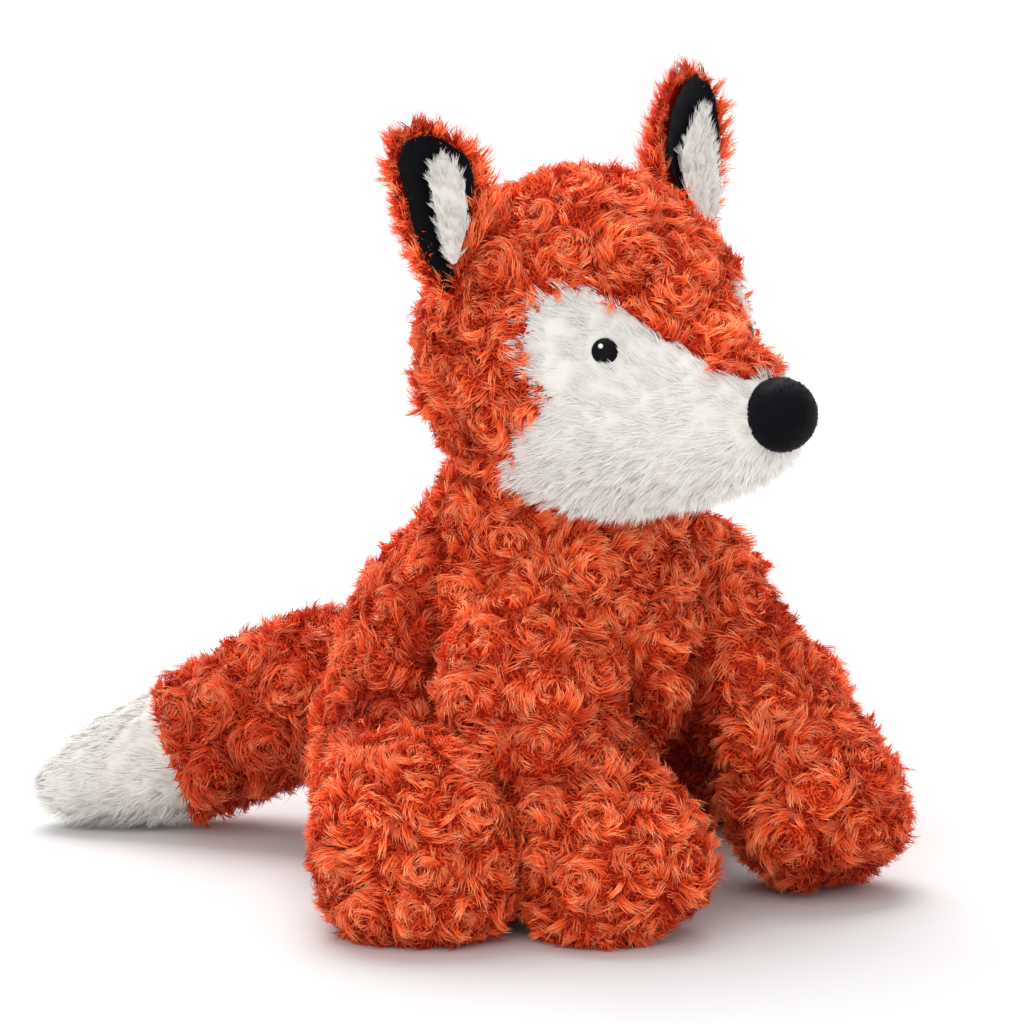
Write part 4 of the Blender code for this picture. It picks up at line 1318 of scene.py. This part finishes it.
def shell(skin, mask, lift, thickness):
    """The cells of a grid in the mask, as a closed sheet with walls where the mask ends."""
    rows, columns = mask.shape
    outer = skin.points + skin.normals * lift
    inner = outer - skin.normals * thickness
    vertices = np.concatenate([outer.reshape(-1, 3), inner.reshape(-1, 3)])
    index = np.arange((rows + 1) * columns).reshape(rows + 1, columns)
    after = np.roll(index, -1, 1)
    low = (rows + 1) * columns
    a, b, c, d = index[:-1], after[:-1], after[1:], index[1:]
    top = np.stack([a, b, c, d], -1)[mask]
    quads = [top, top[:, ::-1] + low]
    edges = (
        (a, b, np.vstack([np.zeros((1, columns), bool), mask[:-1]])), (b, c, np.roll(mask, -1, 1)),
        (c, d, np.vstack([mask[1:], np.zeros((1, columns), bool)])), (d, a, np.roll(mask, 1, 1)),
    )
    for start, end, neighbour in edges:
        bare = mask & ~neighbour
        first, second = start[bare], end[bare]
        quads.append(np.stack([second, first, first + low, second + low], -1))
    quads = np.concatenate(quads)
    used, quads = np.unique(quads, return_inverse=True)
    return vertices[used], quads.reshape(-1, 4)


def middle_and_size(node):
    low, high = (np.array(corner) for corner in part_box(node))
    return (low + high) / 2, high - low


def make_faces():
    skin = Skin(head_form(), 220, 240, "head")
    middles = sum(skin.corners(skin.points)) / 4
    nose = head_point(*NOSE_PLACE)

    def way_of(points, normals):
        bend = wander(points, 0.02, 8)[:, None] * 0.35

        def direction(here):
            out = here - nose
            out = unit(out - normals * dot(out, normals))
            return out * np.cos(bend) + np.cross(normals, out) * np.sin(bend)

        return direction

    for side, word in SIDES:
        mask = in_face(middles) & (middles[..., 0] * side > 0)
        vertices, quads = shell(skin, mask, FACE_LIFT, FACE_CLOTH)
        layers = [skin_layer(vertices, quads, np.zeros((0, 3), int))]
        rng = np.random.default_rng(31 + side)

        def hidden(points):
            eye, _ = middle_and_size(f"eye_{word}")
            on_eye = near(points, eye, EYE_BARE)
            on_eye |= near(points, eye + unit(nose - eye) * BEFORE_EYE, BEFORE_EYE_BARE)
            return near(points, nose, NOSE_RADIUS - NOSE_OVERLAP) | on_eye | under_head(points)

        def keep(points):
            return in_face(points) & (points[:, 0] * side > 0)

        layers.append(sow(skin, None, "white", rng, hidden, keep, way_of))
        thing = put(f"face_plush_{word}", layers, white_material())
        finish_piece(thing, "head", [f"face_panel_{word}"])


def make_legs():
    for number, (name, (form, joint_name)) in enumerate(limbs().items()):
        if name == "tail":
            continue
        hidden = hidden_limb(joint_name)
        inset = PILE_INSETS[name.rsplit("_", 1)[0]]
        swirl_plush(f"{name}_plush", form(inset), (72, 96), 40 + 3 * number, hidden, name, [name])


def tail_way(points):
    """How far along the tail's arc points lie, as a share of its length."""
    bend_radius = TAIL_LENGTH / TAIL_BEND
    middle_x = TAIL_ROOT[0] - cos(TAIL_TURN) * bend_radius
    middle_y = TAIL_ROOT[1] - sin(TAIL_TURN) * bend_radius
    turn = np.arctan2(points[..., 1] - middle_y, points[..., 0] - middle_x)
    return (turn - TAIL_TURN) / TAIL_BEND


def make_tail():
    form = tail_form(PILE_INSETS["tail"])
    hidden = hidden_limb("tail_swing")

    def before_seam(points):
        return tail_way(points) < TAIL_SEAM + 0.12 * smooth(points[..., 2], 0.010, 2 * TAIL_RADIUS)

    def past_seam(points):
        return ~before_seam(points)

    # the orange stretch and the white tip are the same form on either side of the seam
    skin = Skin(form, 96, 96, "tail")
    seam_row = int(np.argmax(tail_way(skin.points[:, 0]) > TAIL_SEAM + 0.05))
    swirls = Swirls(skin, 71, bpy.context.scene.fox_pile.spacing)
    rng = np.random.default_rng(72)
    raised, _ = raised_cloth(skin, swirls)

    def capped(points, at_start):
        """A grid cut at the seam, closed with a flat cap: rows that shrink to the middle."""
        edge = points[0] if at_start else points[-1]
        middle = edge.mean(0)
        rings = [middle + (edge - middle) * share for share in (0.66, 0.33, 0.0)]
        if at_start:
            return np.concatenate([np.stack(rings[::-1]), points])
        return np.concatenate([points, np.stack(rings)])

    layers = [
        skin.layer(capped(raised[: seam_row + 1], False), 0.3),
        # painted shade: the tail's orange pile is darker all over, as if in the body's shade
        sow(skin, swirls, "swirl", rng, hidden, before_seam, tips=before_seam, shade_shift=-0.13),
        sow_under(skin, swirls, rng, hidden, before_seam),
    ]
    finish_piece(put("tail_plush", layers, orange_material()), "tail", ["tail_skin"])

    def way_of(points, normals):
        turn = TAIL_TURN + TAIL_BEND * tail_way(points)
        along = np.stack([-np.sin(turn), np.cos(turn), np.zeros_like(turn)], -1)
        along = unit(along - normals * dot(along, normals))
        bend = wander(points, 0.02, 9)[:, None] * 0.4
        along = along * np.cos(bend) + np.cross(normals, along) * np.sin(bend)
        return lambda here: along

    layers = [
        skin.layer(capped(skin.points[seam_row:], True)),
        sow(skin, None, "white", rng, hidden, past_seam, way_of),
    ]
    finish_piece(put("tail_tip_plush", layers, white_material()), "tail", ["tail_tip"])


def ear_half(side, way):
    """Half width of an ear's outer leaf at a share of its length."""
    table = np.array(EAR_RINGS[side])
    return EAR_BASE_HALF * np.interp(way, table[:, 0], table[:, 1])


def ear_frame(side, word):
    """An ear's root from its joint, and its base, up, level and forward directions."""
    joint = JOINTS[f"ear_{word}_fold"]
    root = np.array(joint["pos_m"])
    base = np.array(joint["axis"])
    base = base * np.sign(base[0])
    up = unit(np.array([side * sin(EAR_LEAN), sin(EAR_TILT), cos(EAR_LEAN)]))
    outward = np.cross(Y_AXIS, base)
    outward = outward * np.sign(outward[2])
    forward = side * X_AXIS * sin(EAR_TURN) - Y_AXIS * cos(EAR_TURN)
    forward = unit(forward - up * (forward @ up))
    base = unit(np.cross(outward, forward))
    base = base * np.sign(base[0])
    level = unit(np.cross(forward, up))
    level = level * np.sign(level[0])
    return root, base, up, level, forward, EAR_LENGTH * EAR_STRETCH[side]


def ear_point(ear, way, across, half, forward, shift=0.0):
    """A point of the ear's cupped leaf: across is a share of the half width."""
    root, base, up, level, ahead, length = ear
    share = np.clip(way / EAR_LEVEL_SHARE, 0, 1)[..., None]
    flat = unit(base * (1 - share) + level * share)
    side = int(np.sign(up[0]))
    shift = np.asarray(shift)
    reach = ((across * half + shift) / np.maximum(ear_half(side, way), 1e-6))[..., None]
    return (
        root
        + up * (way * length)[..., None]
        + flat * (across * half + shift + EAR_SHIFT[side])[..., None]
        + ahead * (EAR_CUP * np.minimum(reach, 1.1) ** 2 + np.asarray(forward)[..., None])
    )


def leaf(ear, rings, front, back, forward, rows, columns, shift=0.0, lean=0.0, tip=0.0):
    """A closed leaf on a grid: along it runs its way up, and round it an angle whose cosine goes across and
    whose sine goes through its thickness. It closes at both ends like a circle."""
    table = np.array(rings)
    place = np.linspace(0, 1, rows + 1)[:, None] + np.zeros((1, columns))
    angle = np.zeros((rows + 1, 1)) + np.arange(columns)[None] * 2 * pi / columns
    eased = (1 - np.cos(pi * place)) / 2
    way = table[0, 0] + (table[-1, 0] - table[0, 0]) * eased
    close = np.clip(np.sin(pi * place) * 3.0, 0, 1) ** 0.7
    half = EAR_BASE_HALF * np.interp(way, table[:, 0], table[:, 1]) * close
    through = np.sin(angle)
    depth = forward + np.where(through > 0, front, back) * through * np.minimum(1, close * 1.3)
    skin = Skin.__new__(Skin)
    skin.columns = columns
    skin.points = ear_point(ear, way, np.cos(angle), half, depth, shift)
    skin.points = skin.points + ear[3] * (
        lean * np.clip(0.9 - way, 0, 2) ** 2 + tip * smooth(way, 0.6, 1.0)
    )[..., None]
    skin.normals = skin.grid_normals(skin.points)
    skin.depth = np.zeros(skin.points.shape[:2])
    if skin.normals[rows // 2, columns // 4] @ ear[4] < 0:
        skin.normals = -skin.normals
    return skin


def make_ears():
    for side, word in SIDES:
        ear = ear_frame(side, word)
        root, _, up, level, forward, length = ear
        rng = np.random.default_rng(90 + side)

        outer = leaf(
            ear, EAR_RINGS[side], EAR_FRONT, EAR_THICK / 2, 0.0, 40, 48, tip=side * EAR_TIP_OUT[side] * 0.8
        )

        def way_of(points, normals, lean=0.9):
            across = dot(points - root, level) / EAR_BASE_HALF
            ahead = up + level * across * lean + 0.25 * np.sin(points @ EAR_WAVES) * level
            ahead = unit(ahead - normals * dot(ahead, normals))
            return lambda here: ahead

        lining_forward = EAR_FRONT + EAR_LAYER_GAP + EAR_LAYER / 2

        def behind_lining(points, near=0.0036, past=-0.0004):
            """The front of the outer leaf, under the lining, has no pile, up to a margin on each side."""
            way = dot(points - root, up)[:, 0] / length
            swing = EAR_LINING_SWING * np.clip(
                0.9 - way, 0, 2
            ) ** 2 + EAR_TIP_OUT[side] * smooth(way, 0.6, 1.0)
            off = dot(points - root, level)[:, 0] - EAR_SHIFT[side] - side * (EAR_LINING_OUT[side] + swing)
            half = EAR_BASE_HALF * np.interp(way, *np.array(EAR_LINING_RINGS[side]).T)
            front = dot(points - root, forward)[:, 0] > 0.0005
            return front & (off > near - half) & (off < half - past) & (way < 0.98 - near * 22)

        # the pile just under the lining's edge is short
        outer.depth = 1.1 * behind_lining(outer.points.reshape(-1, 3), 0.0).reshape(outer.depth.shape)
        fringe = sow(outer, None, "fringe", rng, behind_lining, None, way_of, shade_shift=0.08)
        points, normals, _ = outer.scatter(rng, UNDERFUR_AREA)
        kept = ~behind_lining(points, 0.0004)
        under = underfur(points[kept], normals[kept], np.full(kept.sum(), 0.5), rng)
        thing = put(f"ear_plush_{word}", [outer.layer(outer.points, 0.35), fringe, under], orange_material())
        finish_piece(thing, f"ear_{word}", [f"ear_{word}"])

        thin = EAR_LAYER / 2
        shift = side * EAR_LINING_OUT[side]
        swing = side * EAR_LINING_SWING
        tip = side * EAR_TIP_OUT[side]
        lining = leaf(ear, EAR_LINING_RINGS[side], thin, thin, lining_forward, 36, 40, shift, swing, tip)
        patch_forward = lining_forward + EAR_LAYER + EAR_LAYER_GAP
        shift = shift + EAR_PATCH_SHIFT[side]
        tip = side * EAR_PATCH_TIP[side]
        patch = leaf(ear, EAR_PATCH_RINGS[side], thin, thin, patch_forward, 30, 32, shift, swing, tip)
        for kind, skin, shade, pile, material, slot in (
            ("lining", lining, 0.4, "fleece", black_material(), "black_fleece"),
            ("patch", patch, 0.5, "tuft", white_material(), "white_plush"),
        ):
            layers = [
                skin.layer(skin.points, shade), sow(skin, None, pile, rng, nothing_hidden, None, way_of)
            ]
            thing = put(f"ear_{kind}_plush_{word}", layers, material)
            finish_piece(thing, f"ear_{word}", [f"ear_{kind}_{word}"])


def ball_form(centre, radius, stretch=(1, 1, 1)):
    """A ball as a form with rings at equal angles from its back to its front pole."""
    turn = np.linspace(0, pi, 9)[1:-1, None]
    scale = np.array(stretch, float) * radius
    grow = 1.045
    centres = centre + Y_AXIS * scale * np.cos(turn) * grow
    sides = X_AXIS * scale * np.sin(turn) * grow
    ups = Z_AXIS * scale * np.sin(turn) * grow
    ends = (centre + Y_AXIS * scale * grow, centre - Y_AXIS * scale * grow)
    return Form(centres, sides, ups, ends)


def make_nose():
    centre = head_point(*NOSE_PLACE)
    skin = Skin(ball_form(centre, NOSE_RADIUS), 60, 72)
    rng = np.random.default_rng(101)
    vertices, quads, tris = skin.mesh(skin.points)
    cloth = skin_layer(vertices, quads, tris, 0.4 + 0.2 * wander(vertices, 0.001, 3))

    def way_of(points, normals):
        side = unit(np.cross(normals, Z_AXIS + 0.1 * Y_AXIS))
        return lambda here: side

    fleece = sow(skin, None, "fleece", rng, nothing_hidden, None, way_of)
    thing = put("nose_fleece", [cloth, fleece], black_material())
    finish_piece(thing, "head", ["nose_cover"])


def make_eyes():
    """Balls flattened on the head's surface: shares of the ball go across, up and out from it."""
    skin = Skin(head_form(), 120, 160)
    flat_points = skin.points.reshape(-1, 3)
    flat_normals = skin.normals.reshape(-1, 3)
    ball = Skin(ball_form(np.zeros(3), 1.0), 28, 36)
    for _, word in SIDES:
        for node, name, (wide, rise, lift), material, slot in (
            (f"eye_{word}", f"eye_{word}_thread", EYE_THREAD, eye_material(), "black_fleece"),
            (f"eye_glint_{word}", f"eye_glint_{word}_stitch", EYE_GLINT, glint_material(), "white_plush"),
        ):
            middle, _ = middle_and_size(node)
            normal = flat_normals[((flat_points - middle) ** 2).sum(1).argmin()]
            across = unit(np.cross(normal, Z_AXIS))
            up = np.cross(across, normal)
            flat = (ball.points[..., :1] * across + ball.points[..., 2:] * up) * wide
            points = middle + normal * lift + flat - ball.points[..., 1:2] * normal * rise
            finish_piece(put(name, [ball.layer(points)], material, pile=False), "head", [node])


@lru_cache(maxsize=None)
def thread_group():
    """Laid threads of a satin stitch: fine bands with a little wander."""
    colour, number = "NodeSocketColor", "NodeSocketFloat"
    tree, given, wanted = new_group(
        "Satin stitch", [("Place", "NodeSocketVector"), ("Base", colour), ("Lit", colour)],
        [("Colour", colour), ("Roughness", number), ("Height", number)],
    )
    bands = add_node(
        tree, "ShaderNodeTexWave",
        {"Vector": given["Place"], "Scale": 900.0, "Distortion": 1.5, "Detail": 2.0}, bands_direction="Z",
    ).outputs["Fac"]
    colour = mix_colour(tree, bands, given["Base"], given["Lit"])
    roughness = math_node(tree, "MULTIPLY_ADD", bands, -0.15, 0.40)
    link_all(tree, wanted, {"Colour": colour, "Roughness": roughness, "Height": bands})
    return tree


@lru_cache(maxsize=None)
def thread_material(name, base, lit, specular):
    made, tree, shader = new_material(name, Specular_IOR_Level=specular)
    woven(tree, shader, thread_group(), {"Base": four(base), "Lit": four(lit)}, 0.0001, 0.5)
    return made


def eye_material():
    return thread_material("eye_thread", (0.001, 0.001, 0.0012), (0.004, 0.004, 0.005), 0.08)


def glint_material():
    return thread_material("glint_thread", (0.80, 0.80, 0.80), (0.92, 0.92, 0.92), 0.5)


def lumpy(name, form, counts, seed, body, nodes, lump=LUMP, size=LUMP_SIZE, skin_name=None):
    """A filling: the form with soft lumps of fibre."""
    skin = Skin(form, *counts, skin_name)
    lumps = wander(skin.points, size, seed) + 0.5 * wander(skin.points, size / 2.5, seed + 1)
    lumps = even_poles(lumps)
    points = form.settle(skin.points + skin.normals * (lumps * lump - lump)[..., None])
    thing = put(name, [skin.layer(points)], fibre_material(), pile=False)
    return finish_piece(thing, body, nodes)


def make_fillings():
    for name, form in (("body", body_form), ("head", head_form)):
        inset = FILLING_INSET + PILE_INSETS[name]
        number = 201 if name == "body" else 211
        lumpy(f"{name}_fibre", form(inset), (64, 80), number, name, [f"{name}_filling"], skin_name=name)
    nose = ball_form(head_point(*NOSE_PLACE), NOSE_RADIUS - FILLING_INSET)
    lumpy("nose_fibre", nose, (24, 32), 221, "head", ["nose_filling"], 0.0004, 0.003)
    for number, (name, (form, _)) in enumerate(limbs().items()):
        inset = FILLING_INSET + PILE_INSETS[name.removesuffix("_left").removesuffix("_right")]
        lumpy(f"{name}_fibre", form(inset), (48, 56), 231 + number, name, [f"{name}_filling"], skin_name=name)


def make_seat():
    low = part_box("pellet_bag")[0][2]
    centre, size = middle_and_size("pellet_bag")
    form = ball_form(centre, 1.0, size / 2)
    form.settle = lambda points: np.maximum(points, np.array([-1, -1, low]))
    skin = Skin(form, 72, 90)
    # pellets press out in small bumps, and the sewn edge pulls the sack in round its middle
    bumps = np.abs(wander(skin.points, PELLET_SIZE, 301)) * PELLET_BUMP
    height = (skin.points[..., 2] - centre[2]) / (size[2] / 2)
    seam = SACK_SEAM * np.exp(-((height / SACK_SEAM_SHARE) ** 2))
    moved = even_poles(bumps - seam - PELLET_BUMP)
    points = form.settle(skin.points + skin.normals * moved[..., None])
    thing = put("pellet_sack", [skin.layer(points)], cotton_material(), pile=False)
    finish_piece(thing, "body", ["pellet_bag"])
    panel = frame["nodes"]["seat_panel"]
    for slot in panel.material_slots:
        slot.material = cotton_material()


def make_stage():
    made = bpy.context.scene.fox_stage
    scene = bpy.context.scene
    turn, lift = made.azimuth, made.elevation
    out = Vector((sin(turn) * cos(lift), -cos(turn) * cos(lift), sin(lift)))
    right = Vector((cos(turn), sin(turn), 0))
    up = out.cross(right)
    middle = FRAME_PIXELS / 2
    x, y = made.seat_pixel
    target = right * (middle - x) / made.scale + up * (y - middle) / made.scale
    eye = out * made.distance
    data = bpy.data.cameras.new("camera")
    data.sensor_width = SENSOR * 1000
    data.lens = SENSOR * 1000 * made.scale * made.distance / FRAME_PIXELS
    data.clip_end = 50
    camera = bpy.data.objects.new("camera", data)
    scene.collection.objects.link(camera)
    camera.location = eye
    camera.rotation_euler = (target - eye).to_track_quat("-Z", "Y").to_euler()
    scene.camera = camera

    steps = np.linspace(-6, 6, 25)
    x, y = np.meshgrid(steps, steps, indexing="ij")
    points = np.stack([x, y, np.zeros_like(x)], -1).reshape(-1, 3)
    index = np.arange(625).reshape(25, 25)
    quads = np.stack([index[:-1, :-1], index[1:, :-1], index[1:, 1:], index[:-1, 1:]], -1).reshape(-1, 4)
    floor_made, tree, shader = new_material("pale_floor", Roughness=0.9, Specular_IOR_Level=0.0)
    place = add_node(tree, "ShaderNodeTexCoord").outputs["Object"]
    noise = add_node(
        tree, "ShaderNodeTexNoise", {"Vector": place, "Scale": 3.0, "Detail": 3.0}
    ).outputs["Fac"]
    pale = mix_colour(tree, noise, (0.735, 0.732, 0.735, 1), (0.745, 0.742, 0.742, 1))
    tree.links.new(pale, shader.inputs["Base Color"])
    floor = put(
        "floor", [(points, quads, np.zeros((0, 3), int), np.zeros((625, 2)))], floor_made, False, False
    )

    # a wide soft light to the left of the camera, and one overhead that comes from a little behind
    for name, strength, side, height, width in (
        ("window", made.key, -14, 32, 70), ("overhead", made.top, -165, 58, 50),
    ):
        lamp = bpy.data.lights.new(name, "SUN")
        lamp.energy = strength
        lamp.angle = radians(width)
        sun = bpy.data.objects.new(name, lamp)
        scene.collection.objects.link(sun)
        way = turn + radians(side)
        towards = Vector((sin(way), -cos(way), tan(radians(height))))
        sun.rotation_euler = towards.to_track_quat("Z", "Y").to_euler()

    world = bpy.data.worlds.new("white_room")
    scene.world = world
    world.use_nodes = True
    tree = world.node_tree
    background = tree.nodes["Background"]
    background.inputs["Color"].default_value = (1, 1, 1, 1)
    rays = add_node(tree, "ShaderNodeLightPath")
    shown = math_node(tree, "ADD", rays.outputs["Is Camera Ray"], rays.outputs["Is Glossy Ray"])
    shown = math_node(tree, "ADD", shown, rays.outputs["Is Transmission Ray"], clamp=True)
    strength = add_node(tree, "ShaderNodeMapRange", {0: shown, 1: 0.0, 2: 1.0, 3: made.fill, 4: 1.0})
    tree.links.new(strength.outputs[0], background.inputs["Strength"])
    scene.view_settings.view_transform = "Standard"


class FOX_OT_stage(bpy.types.Operator):
    """Camera, floor and light."""

    bl_idname = "fox.stage"
    bl_label = "Stage"

    def execute(self, context):
        make_stage()
        return {"FINISHED"}


class FOX_OT_body(bpy.types.Operator):
    """Swirl plush of the body."""

    bl_idname = "fox.body"
    bl_label = "Body"

    def execute(self, context):
        make_body()
        return {"FINISHED"}


class FOX_OT_head(bpy.types.Operator):
    """Swirl plush of the head."""

    bl_idname = "fox.head"
    bl_label = "Head"

    def execute(self, context):
        make_head()
        return {"FINISHED"}


class FOX_OT_faces(bpy.types.Operator):
    """White plush of the two face panels."""

    bl_idname = "fox.faces"
    bl_label = "Face"

    def execute(self, context):
        make_faces()
        return {"FINISHED"}


class FOX_OT_nose(bpy.types.Operator):
    """Fleece ball of the nose."""

    bl_idname = "fox.nose"
    bl_label = "Nose"

    def execute(self, context):
        make_nose()
        return {"FINISHED"}


class FOX_OT_eyes(bpy.types.Operator):
    """Thread eyes and their glints."""

    bl_idname = "fox.eyes"
    bl_label = "Eyes"

    def execute(self, context):
        make_eyes()
        return {"FINISHED"}


class FOX_OT_ears(bpy.types.Operator):
    """Plush, lining and patch of both ears."""

    bl_idname = "fox.ears"
    bl_label = "Ears"

    def execute(self, context):
        make_ears()
        return {"FINISHED"}


class FOX_OT_legs(bpy.types.Operator):
    """Swirl plush of the four legs."""

    bl_idname = "fox.legs"
    bl_label = "Legs"

    def execute(self, context):
        make_legs()
        return {"FINISHED"}


class FOX_OT_tail(bpy.types.Operator):
    """Swirl plush of the tail and its white tip."""

    bl_idname = "fox.tail"
    bl_label = "Tail"

    def execute(self, context):
        make_tail()
        return {"FINISHED"}


class FOX_OT_fillings(bpy.types.Operator):
    """Fibre in every stuffed piece."""

    bl_idname = "fox.fillings"
    bl_label = "Fillings"

    def execute(self, context):
        make_fillings()
        return {"FINISHED"}


class FOX_OT_seat(bpy.types.Operator):
    """Sack of pellets and the seat panel."""

    bl_idname = "fox.seat"
    bl_label = "Seat"

    def execute(self, context):
        make_seat()
        return {"FINISHED"}


OPERATORS = [
    FOX_OT_stage, FOX_OT_body, FOX_OT_head, FOX_OT_faces, FOX_OT_nose, FOX_OT_eyes, FOX_OT_ears, FOX_OT_legs,
    FOX_OT_tail, FOX_OT_fillings, FOX_OT_seat,
]


class FOX_PT_panel(bpy.types.Panel):
    """Lists the pieces of the fox."""

    bl_label = "Plush fox"
    bl_idname = "FOX_PT_panel"
    bl_space_type = "VIEW_3D"
    bl_region_type = "UI"
    bl_category = "Plush fox"

    def draw(self, context):
        for made in OPERATORS:
            self.layout.operator(made.bl_idname)
        for settings in (context.scene.fox_pile, context.scene.fox_colours, context.scene.fox_stage):
            for name in settings.bl_rna.properties.keys():
                if name not in ("rna_type", "name"):
                    self.layout.prop(settings, name)


CLASSES = [FoxPile, FoxColours, FoxStage, *OPERATORS, FOX_PT_panel]


def register():
    for made in CLASSES:
        bpy.utils.register_class(made)
    bpy.types.Scene.fox_pile = PointerProperty(type=FoxPile)
    bpy.types.Scene.fox_colours = PointerProperty(type=FoxColours)
    bpy.types.Scene.fox_stage = PointerProperty(type=FoxStage)


def unregister():
    for name in ("fox_stage", "fox_colours", "fox_pile"):
        delattr(bpy.types.Scene, name)
    for made in reversed(CLASSES):
        bpy.utils.unregister_class(made)


def main():
    register()
    bpy.ops.fox.stage()
    bpy.ops.fox.body()
    bpy.ops.fox.head()
    bpy.ops.fox.faces()
    bpy.ops.fox.nose()
    bpy.ops.fox.eyes()
    bpy.ops.fox.ears()
    bpy.ops.fox.legs()
    bpy.ops.fox.tail()
    bpy.ops.fox.fillings()
    bpy.ops.fox.seat()


if __name__ == "__main__":
    main()
